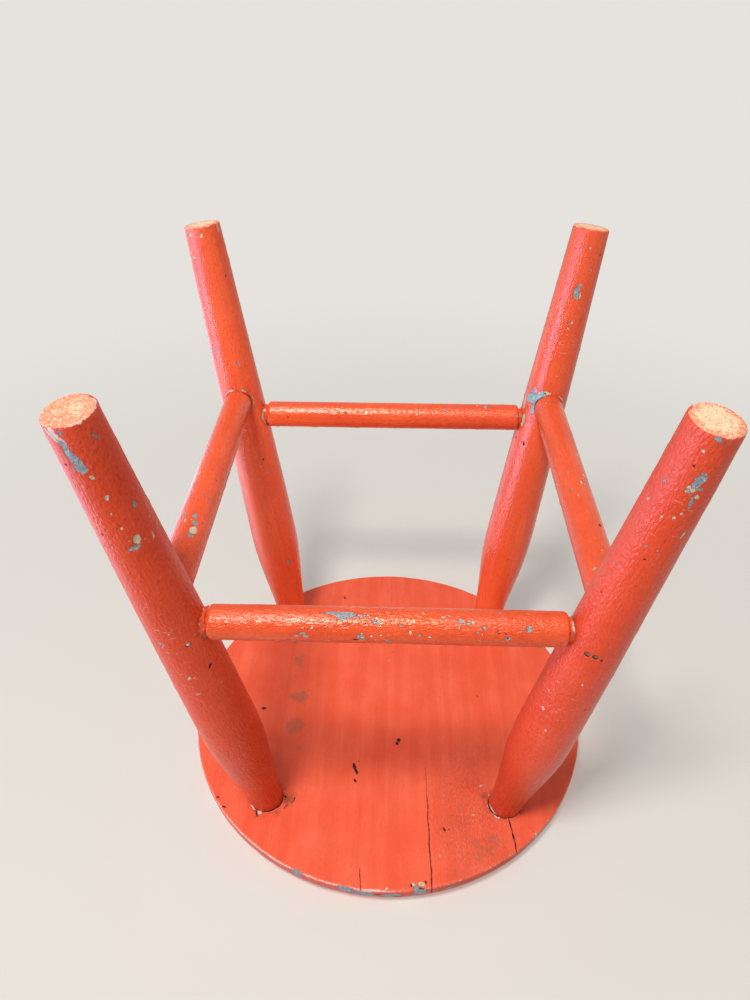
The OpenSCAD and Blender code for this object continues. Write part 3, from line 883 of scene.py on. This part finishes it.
def add(tree, kind, settings, links):
    """Adds a node. Each link gives an input, by name or number, a value, an output of another
    node, or another node, which stands for its first output in use. A Mix node mixes the
    numbers 2 and 3 or the colours 6 and 7 by its input 0."""
    node = tree.nodes.new("ShaderNode" + kind)
    for key, value in settings.items():
        setattr(node, key, value)
    for key, value in links.items():
        if isinstance(value, bpy.types.Node):
            value = next(output for output in value.outputs if output.enabled)
        if isinstance(value, bpy.types.NodeSocket):
            tree.links.new(value, node.inputs[key])
        else:
            node.inputs[key].default_value = value
    return node


def new_material(name):
    """An empty material with an output node. Gives the material and its tree."""
    material = bpy.data.materials.new(name)
    material.use_nodes = True
    material.node_tree.nodes.clear()
    return material, material.node_tree


def oil_enamel(name, deep, bright, shine, sleek, rough_skin):
    """Orange-red oil enamel, brushed by hand over older slate-blue and cream coats: a strong
    warm red with broken brush marks and a soft gloss, and the old coats in its chips. Its colour
    also holds painted shade in hollows, creases, corners and crevices and painted highlight on bumps.
    sleek is the roughness of its glossiest and dullest strokes, and rough_skin how leathery it
    is. Brush marks, dimples and specks of dirt are drawn 1 to 2 mm wide, which is coarser than
    most real ones, so that they show."""
    material, tree = new_material(name)
    place = add(tree, "Attribute", {"attribute_name": "brushed"}, {}).outputs["Vector"]
    field = {key: add(tree, "Attribute", {"attribute_name": key}, {}).outputs["Fac"]
             for key in (*LAYERS, "wear", "seam_and_shade", "smudge", "painted_shade_and_dark_spots", "scuff", "wrinkle", "scratched")}
    drawn, ridged, pulled, across = (
        add(tree, "VectorMath", {"operation": "MULTIPLY"}, {0: place, 1: stretch})
        for stretch in ((1, 1, 0.06), (1, 1, 0.3), (1, 1, 0.45), (0.2, 0.2, 1.5)))

    # Noises: the place that each reads, cells per mm, detail, roughness and distortion
    noise = {}
    for key, vector, scale, detail, rough, twist in (
            ("strokes", drawn, 0.6, 4.0, 0.6, 0.0), ("broad", drawn, 0.10, 2.0, 0.5, 0.0),
            ("ridge", ridged, 0.42, 1.0, 0.5, 0.0), ("swirl", pulled, 0.4, 2.0, 0.5, 0.7),
            ("dimple", pulled, 0.85, 1.0, 0.5, 0.0), ("rasp", pulled, 0.95, 3.0, 0.7, 0.0),
            ("nicks", across, 0.8, 1.0, 0.5, 1.1), ("cloud", place, 0.035, 3.0, 0.5, 0.0),
            ("smear", place, 0.14, 4.0, 0.65, 0.0), ("pebble", place, 0.55, 2.0, 0.5, 0.0),
            ("dirt", place, 0.8, 1.0, 0.5, 0.0), ("mottle", place, 0.9, 4.0, 0.75, 0.0),
            ("grit", place, 1.6, 3.0, 0.5, 0.0)):
        noise[key] = add(tree, "TexNoise", {}, {
            "Vector": vector, "Scale": scale, "Detail": detail, "Roughness": rough,
            "Distortion": twist})
    ragged = add(tree, "Mix", {}, {0: 0.5, 2: noise["grit"], 3: noise["pebble"]})

    # Damage and painted shade: each field is widened or pinched by a noise of so many mm, then cut
    # off softly. A rim is the same field, cut off a little further out: a darker ring that is painted
    # shade at the chip's step. The seam's dark is a joint line and painted shade in crevices.
    share = {}
    for key, by, spread, inset, soft in (
            ("aqua", ragged, 3.4, -0.1, 0.10), ("slate", ragged, 3.4, -0.1, 0.10),
            ("slate_rim", ragged, 3.4, -0.25, 0.10), ("cream", ragged, 2.6, -0.1, 0.10),
            ("cream_rim", ragged, 2.6, -0.25, 0.10), ("pit", ragged, 1.6, 0.0, 0.12),
            ("wear", ragged, 3.6, 0.0, 0.15), ("seam_and_shade", ragged, 0.7, 0.0, 0.12),
            ("smudge", noise["smear"], 14.0, 0.8, 2.2)):
        edge = add(tree, "Math", {"operation": "MULTIPLY_ADD"}, {
            0: by, 1: spread, 2: field[key.removesuffix("_rim")]})
        middle = spread / 2 + inset
        share[key] = add(tree, "MapRange", {"interpolation_type": "SMOOTHSTEP"}, {
            "Value": edge, "From Min": middle - soft, "From Max": middle + soft})

    # Wrinkles run where the swirl crosses its middle, and specks of dirt gather in the brighter
    # clouds. Each pattern goes from its least share to its most between two values of its noise.
    crossing = add(tree, "Math", {"operation": "PINGPONG"}, {0: noise["swirl"], 1: 0.5})
    dirty = add(tree, "Math", {"operation": "MULTIPLY_ADD"}, {
        0: noise["cloud"], 1: 0.25, 2: noise["dirt"]})
    for key, by, none_at, full_at, least, most in (
            ("banded", noise["broad"], 0.42, 0.60, 0.0, 0.26),
            ("streaked", noise["strokes"], 0.48, 0.75, 0.0, 0.16),
            ("creased", crossing, 0.36, 0.5, 0.0, 1.0), ("specked", dirty, 0.845, 0.90, 0.0, 0.6),
            # Painted shade in the dimples' hollows, and painted highlight on their tops
            ("painted_dimple_shade", noise["dimple"], 0.40, 0.26, 0.0, 1.3 * rough_skin),
            ("raised", noise["dimple"], 0.66, 0.78, 0.0, 1.6 * rough_skin),
            ("rasped", noise["rasp"], 0.30, 0.70, 0.0, 1.0),
            ("chafed", noise["rasp"], 0.44, 0.34, 0.0, 0.16),
            # Pale nicks: scratches in the paint, and painted highlight on the wrinkles' edges
            ("nicked", noise["nicks"], 0.68, 0.75, 0.0, 0.9),
            ("darkened", noise["mottle"], 0.46, 0.36, 0.0, 0.6),
            ("flecked", noise["mottle"], 0.56, 0.62, 0.0, 0.8),
            ("patchy", noise["mottle"], 0.35, 0.65, 0.35, 1.0),
            ("canvas", noise["grit"], 0.36, 0.62, 0.18, 0.75)):
        share[key] = add(tree, "MapRange", {"interpolation_type": "SMOOTHSTEP"}, {
            "Value": by, "From Min": none_at, "From Max": full_at,
            "To Min": least, "To Max": most})

    # Patterns that show only as far as a field does
    for key, pattern, where in (
            ("wrinkle", share["creased"], field["wrinkle"]),
            ("dull", share["rasped"], field["scuff"]),
            ("pale_fleck", share["chafed"], field["scuff"]),
            ("nick", share["nicked"], field["scratched"]),
            ("smudged", share["canvas"], share["smudge"]),
            # Painted shade in corners and on the rim, with the seat's darker spots, mottled
            ("painted_shade_and_spots_share", share["patchy"], field["painted_shade_and_dark_spots"])):
        share[key] = add(tree, "Math", {"operation": "MULTIPLY"}, {0: pattern, 1: where})
    # Painted shade in the floors of the wrinkles
    share["painted_crease_shade"] = add(tree, "Math", {"operation": "MULTIPLY"}, {
        0: share["wrinkle"], 1: 0.35})

    # Older coats and bare wood: two colours clouded into each other, and specks on some
    under = {}
    for key, by, first, second, specks in (
            ("slate", "cloud", "#A8A59D", "#64809A", {"darkened": "#4E565C", "flecked": "#D8D6CC"}),
            ("aqua", "pebble", "#4A86AE", "#A5D6CF", {"flecked": "#DDE3DC"}),
            ("cream", "pebble", "#F2E8D4", "#AD9670", {}),
            ("wear", "pebble", "#FAD8D6", "#C9B4AE", {})):
        under[key] = add(tree, "Mix", {"data_type": "RGBA"}, {
            0: noise[by], 6: colour(first), 7: colour(second)})
        for speck, tint in specks.items():
            under[key] = add(tree, "Mix", {"data_type": "RGBA"}, {
                0: share[speck], 6: under[key], 7: colour(tint)})

    # The top coat in broad clouds, and over it what marks it, from brush bands to open seams,
    # with painted shade in hollows, creases, corners and crevices and painted highlight on bumps
    tone = add(tree, "Mix", {"data_type": "RGBA"}, {
        0: noise["cloud"], 6: colour(deep), 7: colour(bright)})
    for key, tint in (("banded", colour("#E0481F")), ("streaked", colour("#CE3F1B")),
                      ("painted_dimple_shade", colour("#A62D10")), ("raised", colour("#F88468")),
                      ("specked", colour("#7C2A18")), ("painted_crease_shade", colour("#B5340F")),
                      ("dull", colour("#C64A30")), ("pale_fleck", colour("#F79A85")),
                      ("smudged", colour("#A0644C")), ("painted_shade_and_spots_share", colour("#6E2A18")),
                      ("nick", colour("#F7AC9C")), ("slate_rim", colour("#A8331A")),
                      ("cream_rim", colour("#B8401F")), ("wear", under["wear"]),
                      ("cream", under["cream"]), ("slate", under["slate"]), ("aqua", under["aqua"]),
                      ("pit", colour("#2A1813")), ("seam_and_shade", colour("#43190F"))):
        tone = add(tree, "Mix", {"data_type": "RGBA"}, {0: share[key], 6: tone, 7: tint})

    # Gloss: broken by the strokes, gone where the paint is scuffed or off
    gloss = add(tree, "MapRange", {}, {"Value": noise["strokes"], "From Min": 0.3, "From Max": 0.7,
                                       "To Min": sleek[0], "To Max": sleek[1]})
    for where, roughness in ((field["scuff"], 0.6), (share["wear"], 0.7), (share["cream"], 0.55),
                             (share["slate"], 0.5), (share["seam_and_shade"], 0.85), (share["pit"], 0.9)):
        gloss = add(tree, "Mix", {}, {0: where, 2: gloss, 3: roughness})

    # Relief in millimetres: ridges along the strokes, dimples where paint shrank, wrinkles, and
    # the step into a chip. Only scuffs and chips are finer than a millimetre, so glints stay crisp.
    ripple = add(tree, "Math", {"operation": "MULTIPLY_ADD"}, {0: field["wrinkle"], 1: 0.22, 2: 0.07})
    height = add(tree, "Math", {"operation": "MULTIPLY"}, {0: noise["ridge"], 1: ripple})
    for raised, depth in ((noise["dimple"], 1.9 * rough_skin), (share["wrinkle"], 0.14),
                          (share["dull"], 0.20), (share["slate"], -0.16), (share["cream"], -0.14),
                          (share["nick"], -0.05), (share["aqua"], -0.16), (share["wear"], -0.08),
                          (share["pit"], -0.25)):
        height = add(tree, "Math", {"operation": "MULTIPLY_ADD"}, {0: raised, 1: depth, 2: height})
    bump = add(tree, "Bump", {}, {"Height": height, "Strength": 1.0, "Distance": MM})
    shader = add(tree, "BsdfPrincipled", {}, {
        "Base Color": tone, "Roughness": gloss, "Specular IOR Level": shine, "Normal": bump})
    add(tree, "OutputMaterial", {}, {"Surface": shader})
    return material


def bare_end_grain():
    """Beech end grain, sawn square and polished by floors: pale cream and growth rings, salmon
    where orange paint is rubbed into it, near its edge and on the front right foot, and open
    pores. Pores are drawn about 1 mm wide, several times coarser than real ones."""
    material, tree = new_material("worn_beech_end_grain")
    place = add(tree, "Attribute", {"attribute_name": "brushed"}, {}).outputs["Vector"]
    stain, fleck = (
        add(tree, "TexNoise", {}, {"Vector": place, "Scale": scale, "Detail": detail,
                                   "Roughness": rough})
        for scale, detail, rough in ((0.30, 5.0, 0.68), (1.0, 4.0, 0.7)))
    across = add(tree, "VectorMath", {"operation": "MULTIPLY"}, {0: place, 1: (1, 1, 0)})
    away = add(tree, "VectorMath", {"operation": "LENGTH"}, {0: across})
    edge = add(tree, "MapRange", {"interpolation_type": "SMOOTHSTEP"}, {
        "Value": away, "From Min": 5.5, "From Max": FOOT_R, "To Max": 0.30})
    pith = add(tree, "VectorMath", {"operation": "DISTANCE"}, {0: across, 1: (-17.0, 6.0, 0.0)})
    bent = add(tree, "Math", {"operation": "MULTIPLY_ADD"}, {0: stain, 1: 4.0, 2: pith})
    wave = add(tree, "Math", {"operation": "PINGPONG"}, {0: bent, 1: 0.8})
    corner = add(tree, "SeparateXYZ", {}, {0: add(tree, "TexCoord", {}, {}).outputs["Object"]})
    front_right = add(tree, "Math", {"operation": "SUBTRACT"}, {
        0: corner.outputs["X"], 1: corner.outputs["Y"]})
    soaked = add(tree, "MapRange", {}, {"Value": front_right, "From Min": 0.05, "From Max": 0.2,
                                        "To Min": -0.13, "To Max": 0.06})
    rubbed = add(tree, "Math", {"operation": "ADD"}, {0: stain, 1: soaked})
    rubbed = add(tree, "Math", {"operation": "ADD"}, {0: rubbed, 1: edge})

    # Growth rings, rubbed-in paint, pale flecks and, last of all, the pores
    tone = colour("#F3D0AA")
    for by, none_at, full_at, most, tint in (
            (wave, 0.45, 0.8, 0.22, "#E9B98C"), (rubbed, 0.40, 0.64, 0.9, "#EF8460"),
            (fleck, 0.52, 0.64, 0.8, "#FBE8CC"), (fleck, 0.42, 0.33, 0.6, "#C0603E")):
        shown = add(tree, "MapRange", {"interpolation_type": "SMOOTHSTEP"}, {
            "Value": by, "From Min": none_at, "From Max": full_at, "To Max": most})
        tone = add(tree, "Mix", {"data_type": "RGBA"}, {0: shown, 6: tone, 7: colour(tint)})
    height = add(tree, "Math", {"operation": "MULTIPLY_ADD"}, {0: shown, 1: -0.6, 2: fleck})
    bump = add(tree, "Bump", {}, {"Height": height, "Strength": 1.0, "Distance": 0.3 * MM})
    shader = add(tree, "BsdfPrincipled", {}, {"Base Color": tone, "Roughness": 0.66, "Normal": bump})
    add(tree, "OutputMaterial", {}, {"Surface": shader})
    return material


def painted_wedge():
    """A hardwood wedge sawn flush and painted with the seat: its paint is rubbed thin, so brown
    wood shows along it. Its rubbed patches are 4 mm across and its grit under 1 mm."""
    material, tree = new_material("rubbed_enamel_on_wedge")
    place = add(tree, "TexCoord", {}, {}).outputs["Object"]
    rubbed = add(tree, "TexNoise", {}, {"Vector": place, "Scale": 260.0, "Detail": 4.0})
    grit = add(tree, "TexNoise", {}, {"Vector": place, "Scale": 1500.0, "Detail": 2.0})
    bare = add(tree, "MapRange", {"interpolation_type": "SMOOTHSTEP"}, {
        "Value": rubbed, "From Min": 0.52, "From Max": 0.60})
    paint = add(tree, "Mix", {"data_type": "RGBA"}, {
        0: grit, 6: colour("#D9451F"), 7: colour("#E95834")})
    wood = add(tree, "Mix", {"data_type": "RGBA"}, {
        0: grit, 6: colour("#C79F7B"), 7: colour("#8B6A52")})
    tone = add(tree, "Mix", {"data_type": "RGBA"}, {0: bare, 6: paint, 7: wood})
    gloss = add(tree, "MapRange", {}, {"Value": bare, "To Min": 0.42, "To Max": 0.75})
    bump = add(tree, "Bump", {}, {"Height": grit, "Strength": 0.5, "Distance": 0.1 * MM})
    shader = add(tree, "BsdfPrincipled", {}, {"Base Color": tone, "Roughness": gloss, "Normal": bump})
    add(tree, "OutputMaterial", {}, {"Surface": shader})
    return material


def steel_brad():
    """Drawn steel nail head, filed by wear: bright grey metal with brown rust in patches of about
    1 mm, and a little more of it on the stool's left side."""
    material, tree = new_material("drawn_steel_with_rust")
    place = add(tree, "TexCoord", {}, {}).outputs["Object"]
    patch = add(tree, "TexNoise", {}, {"Vector": place, "Scale": 900.0, "Detail": 3.0})
    side = add(tree, "SeparateXYZ", {}, {0: place})
    on_left = add(tree, "MapRange", {}, {"Value": side, "From Min": 0.01, "From Max": -0.01,
                                         "To Max": 0.16})
    rusting = add(tree, "Math", {"operation": "ADD"}, {0: patch, 1: on_left})
    rust = add(tree, "MapRange", {"interpolation_type": "SMOOTHSTEP"}, {
        "Value": rusting, "From Min": 0.52, "From Max": 0.64})
    brown = add(tree, "Mix", {"data_type": "RGBA"}, {
        0: patch, 6: colour("#6E6A5E"), 7: colour("#8A4424")})
    tone = add(tree, "Mix", {"data_type": "RGBA"}, {0: rust, 6: colour("#CFCCC4"), 7: brown})
    metal = add(tree, "MapRange", {}, {"Value": rust, "To Min": 1.0, "To Max": 0.0})
    gloss = add(tree, "MapRange", {}, {"Value": rust, "To Min": 0.34, "To Max": 0.85})
    bump = add(tree, "Bump", {}, {"Height": patch, "Strength": 0.5, "Distance": 0.1 * MM})
    shader = add(tree, "BsdfPrincipled", {}, {
        "Base Color": tone, "Metallic": metal, "Roughness": gloss, "Normal": bump})
    add(tree, "OutputMaterial", {}, {"Surface": shader})
    return material


def finish_piece(piece, node, materials):
    """Smooth shading up to sharp edges, the materials, and the piece's place in the frame."""
    piece.name = piece.data.name = node + "_painted"
    piece.data.materials.clear()
    for material in materials:
        piece.data.materials.append(material)
    piece.data.shade_smooth()
    piece.data.set_sharp_from_angle(angle=np.radians(SHARP_ANGLE))
    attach(piece, "root")
    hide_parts(node)


# More chips on every side, most of them small. On the seat's top, which the photograph doesn't
# show, they are all there is.
rng = np.random.default_rng(7)
for name, layers in CHIPS.items():
    low, high = (6, 320) if name in LEGS else (-84, 84)
    for layer, count, size in (("slate", 12, 1.2), ("cream", 9, 0.8), ("pit", 12, 0.7)):
        layers[layer] = [*layers[layer], *strewn(rng, count, (-180, low), (180, high), size)]
for layer, count, size in (("slate", 2, 1.2), ("cream", 4, 0.9), ("pit", 7, 0.7)):
    SEAT_CHIPS[layer] = [*SEAT_CHIPS[layer], *strewn(rng, count, (-140, -120), (140, 130), size)]
SEAT_CHIPS["pit"] = [*SEAT_CHIPS["pit"], *strewn(rng, 9, (-94, -138), (-34, -62), 0.45)]
TOP_CHIPS = {
    "slate": strewn(rng, 34, (-145, -145), (145, 145), 2.4),
    "cream": strewn(rng, 40, (-145, -145), (145, 145), 1.5),
    "pit": strewn(rng, 26, (-140, -140), (140, 140), 1.2),
    "smudge": strewn(rng, 9, (-110, -110), (110, 110), 9.0),
}

# One paint in four tones that also stand for light: the front legs' darker tone is painted shade, and
# the paler back legs', seat's and rails' tones are painted light, the seat's pinker one painted sheen
shaded_front_leg_enamel, lit_back_leg_enamel, seat_enamel, rail_enamel = (
    oil_enamel("brushed_oil_enamel_on_" + where, deep, bright, shine, sleek, rough_skin)
    for where, deep, bright, shine, sleek, rough_skin in (
        ("front_legs_shaded", "#DA3810", "#F65C34", 0.3, (0.3, 0.44), 0.28),
        ("back_legs_lit", "#F25226", "#FF764A", 0.3, (0.17, 0.28), 0.18),
        ("seat", "#EE5230", "#FF7A5C", 0.26, (0.3, 0.42), 0.10),
        ("rails", "#E8481A", "#FF6E3C", 0.36, (0.20, 0.32), 0.19)))
end_grain = bare_end_grain()

for seed, name in enumerate(LEGS):
    piece = leg_shape(name, 100 + 20 * seed)
    paint_leg(piece, name)
    finish_piece(piece, name, [shaded_front_leg_enamel if "front" in name else lit_back_leg_enamel, end_grain])
    centres = np.empty(len(piece.data.polygons) * 3)
    piece.data.polygons.foreach_get("center", centres)
    w = LEGS[name].measure(centres.reshape(-1, 3) / MM)[0]
    piece.data.polygons.foreach_set("material_index", (w < FOOT_CUT + 0.35).astype(np.int32))

for seed, name in enumerate(RAILS):
    piece = rail_shape(name, 300 + 20 * seed)
    paint_rail(piece, name)
    finish_piece(piece, name, [rail_enamel])

for node, side in (("seat_board_wide", 1), ("seat_board_narrow", -1)):
    board = seat_blank()
    bores = [bore_cutter(name) for name, leg in LEGS.items() if leg.start[0] * side > 0]
    splits = [crack_cutter(*crack) for crack in CRACKS if (crack[0][0][0] - JOINT_X) * side > 0]
    cut(board, [joint_cutter(side), *bores, *splits])
    paint_seat(board)
    finish_piece(board, node, [seat_enamel])

wedge_paint, brad_steel = painted_wedge(), steel_brad()
for node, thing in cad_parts.items():
    if node.endswith("_wedge") or node == "stretcher_brads":
        for place in thing.material_slots:
            place.material = brad_steel if node == "stretcher_brads" else wedge_paint

# Studio: one pale floor under the feet, and one that the upside-down seat rests on in the
# photograph's view. Each is seen only from its own side, and only cameras see them.
PALE = colour("#E6E3DE")


def floor_disc(name, z, upwards):
    """A level disc: rings of points outwards, turning one way to face down and the other up."""
    radii = np.array([0, 200, 400, 700, 1200, 2400, 5000, 12000.0])
    turn = np.arange(96) * np.pi / 48 * (-1 if upwards else 1)
    flat = radii[:, None, None] * np.stack([np.cos(turn), np.sin(turn)], -1)
    points = np.concatenate([flat, np.full((*flat.shape[:2], 1), z)], -1)
    mesh = bpy.data.meshes.new(name)
    mesh.from_pydata(points.reshape(-1, 3) * MM, [], grid_faces(len(radii), turn.size, True))
    floor = new_object(name, mesh)
    floor.visible_shadow = False
    floor.visible_diffuse = False
    floor.visible_glossy = False
    floor.visible_transmission = False
    return floor


def pale_floor(name, only_from_below):
    """Matt pale paper that keeps shadows near the object and fades into the background from
    0.3 m to 1 m away. It is clear from its other side, and with only_from_below it is clear
    unless the view has come up through the other floor, so a camera above that never sees it."""
    material, tree = new_material(name)
    place = add(tree, "TexCoord", {}, {}).outputs["Object"]
    away = add(tree, "VectorMath", {"operation": "LENGTH"}, {0: place})
    far = add(tree, "MapRange", {"interpolation_type": "SMOOTHSTEP"}, {
        "Value": away, "From Min": 0.30, "From Max": 1.0})
    far = add(tree, "MapRange", {}, {"Value": far, "To Min": 0.3})
    matt = add(tree, "BsdfDiffuse", {}, {"Color": colour("#E4E2DE")})
    glow = add(tree, "Emission", {}, {"Color": PALE, "Strength": 1.0})
    paper = add(tree, "MixShader", {}, {0: far, 1: matt, 2: glow})
    behind = add(tree, "NewGeometry", {}, {}).outputs["Backfacing"]
    if only_from_below:
        passed = add(tree, "LightPath", {}, {}).outputs["Transparent Depth"]
        not_below = add(tree, "Math", {"operation": "LESS_THAN"}, {0: passed, 1: 0.5})
        behind = add(tree, "Math", {"operation": "MAXIMUM"}, {0: behind, 1: not_below})
    clear = add(tree, "BsdfTransparent", {}, {})
    shown = add(tree, "MixShader", {}, {0: behind, 1: paper, 2: clear})
    add(tree, "OutputMaterial", {}, {"Surface": shown})
    return material


floor_disc("floor_under_feet", -0.05, True).data.materials.append(pale_floor("floor_paper", False))
floor_disc("floor_under_seat", SEAT_TOP + 0.05, False).data.materials.append(
    pale_floor("upturned_floor_paper", True))

world = bpy.data.worlds.new("studio")
bpy.context.scene.world = world
world.use_nodes = True
sky = world.node_tree
sky.nodes.clear()
path = add(sky, "LightPath", {}, {})
seen = add(sky, "Math", {"operation": "MAXIMUM"}, {
    0: path.outputs["Is Camera Ray"], 1: path.outputs["Is Glossy Ray"]})
seen = add(sky, "Math", {"operation": "MAXIMUM"}, {0: seen, 1: path.outputs["Is Transmission Ray"]})
soft = add(sky, "Background", {}, {"Color": PALE, "Strength": 0.40})
drop = add(sky, "Background", {}, {"Color": PALE, "Strength": 1.0})
both = add(sky, "MixShader", {}, {0: seen, 1: soft, 2: drop})
add(sky, "OutputWorld", {}, {"Surface": both})

CENTRE = np.array([0, 0, SEAT_TOP / 2])


def softbox(name, offset, size, share, tint, diffuse=True, glossy=True):
    """A square lamp that faces the stool's middle and gives a facing surface that share of
    white light: watts = share times pi squared times distance squared. It can light the
    paint's colour alone, or its gloss alone."""
    offset = np.array(offset, float)
    data = bpy.data.lights.new(name, "AREA")
    data.shape = "SQUARE"
    data.size = size * MM
    data.energy = share * (np.pi * np.linalg.norm(offset) * MM) ** 2
    data.color = colour(tint)[:3]
    lamp = new_object(name, data)
    back = unit(offset)
    right = unit(np.cross([0.0, 0.3, 1.0], back))
    turn = Matrix(np.stack([right, np.cross(back, right), back], -1).tolist()).to_4x4()
    turn.translation = ((CENTRE + offset) * MM).tolist()
    lamp.matrix_world = turn
    lamp.visible_camera = False
    lamp.visible_diffuse = diffuse
    lamp.visible_glossy = glossy


# The photograph's window at its left and its lamp above, which is below the standing stool,
# and softer fills from other sides. Lamps that are off in the diffuse light give only the
# window's and the lamp's sheens.
softbox("key_from_below", (300, -560, -1395), 300, 0.83, "#FFFAF2")
softbox("fill_photo_left", (1400, -700, -80), 900, 0.25, "#E0EAFF", glossy=False)
softbox("glint_from_below", (150, -470, -1430), 320, 1.0, "#FFDDB0", diffuse=False)
softbox("low_window_photo_left", (1330, -560, -60), 800, 1.7, "#B2BEFF", diffuse=False)
softbox("high_window_photo_left", (1350, -130, 640), 850, 0.38, "#D2DCFF", diffuse=False)
softbox("sky_photo_left", (1150, 850, 400), 900, 0.32, "#C4D0FF", diffuse=False)
softbox("fill_photo_right", (-1420, -450, 0), 900, 0.09, "#FFF0DC", glossy=False)
softbox("key_from_above", (800, -1000, 1400), 900, 0.38, "#FFFDFA", glossy=False)
softbox("fill_from_behind", (-700, 1300, 900), 900, 0.30, "#F4F8FF", glossy=False)

# The photograph's camera, fitted to the seat's rim and the legs' outlines: it leans 36.6 degrees
# down over the upturned stool, and so as far up under the standing one
pitch, roll, yaw = np.radians([36.608, 0.097, -1.873])
ahead, right = np.array([0, np.cos(pitch), -np.sin(pitch)]), np.array([1.0, 0, 0])
level_rows = np.stack([right, np.cross(ahead, right), ahead])
rolled = np.array([[np.cos(roll), np.sin(roll), 0], [-np.sin(roll), np.cos(roll), 0], [0, 0, 1]])
yawed = np.array([[np.cos(yaw), -np.sin(yaw), 0], [np.sin(yaw), np.cos(yaw), 0], [0, 0, 1]])
right, down, ahead = rolled @ level_rows @ yawed @ np.diag([-1, 1, -1])
lens = bpy.data.cameras.new("photo_camera")
lens.sensor_width = 36.0
lens.lens = 27.02
lens.clip_start = 0.01
camera = new_object("photo_camera", lens)
camera.matrix_world = Matrix(np.column_stack([right, -down, -ahead]).tolist()).to_4x4()
camera.location = (-0.00287, -0.38713, -0.15019)
bpy.context.scene.camera = camera
bpy.context.scene.view_settings.view_transform = "Standard"

bpy.context.view_layer.update()
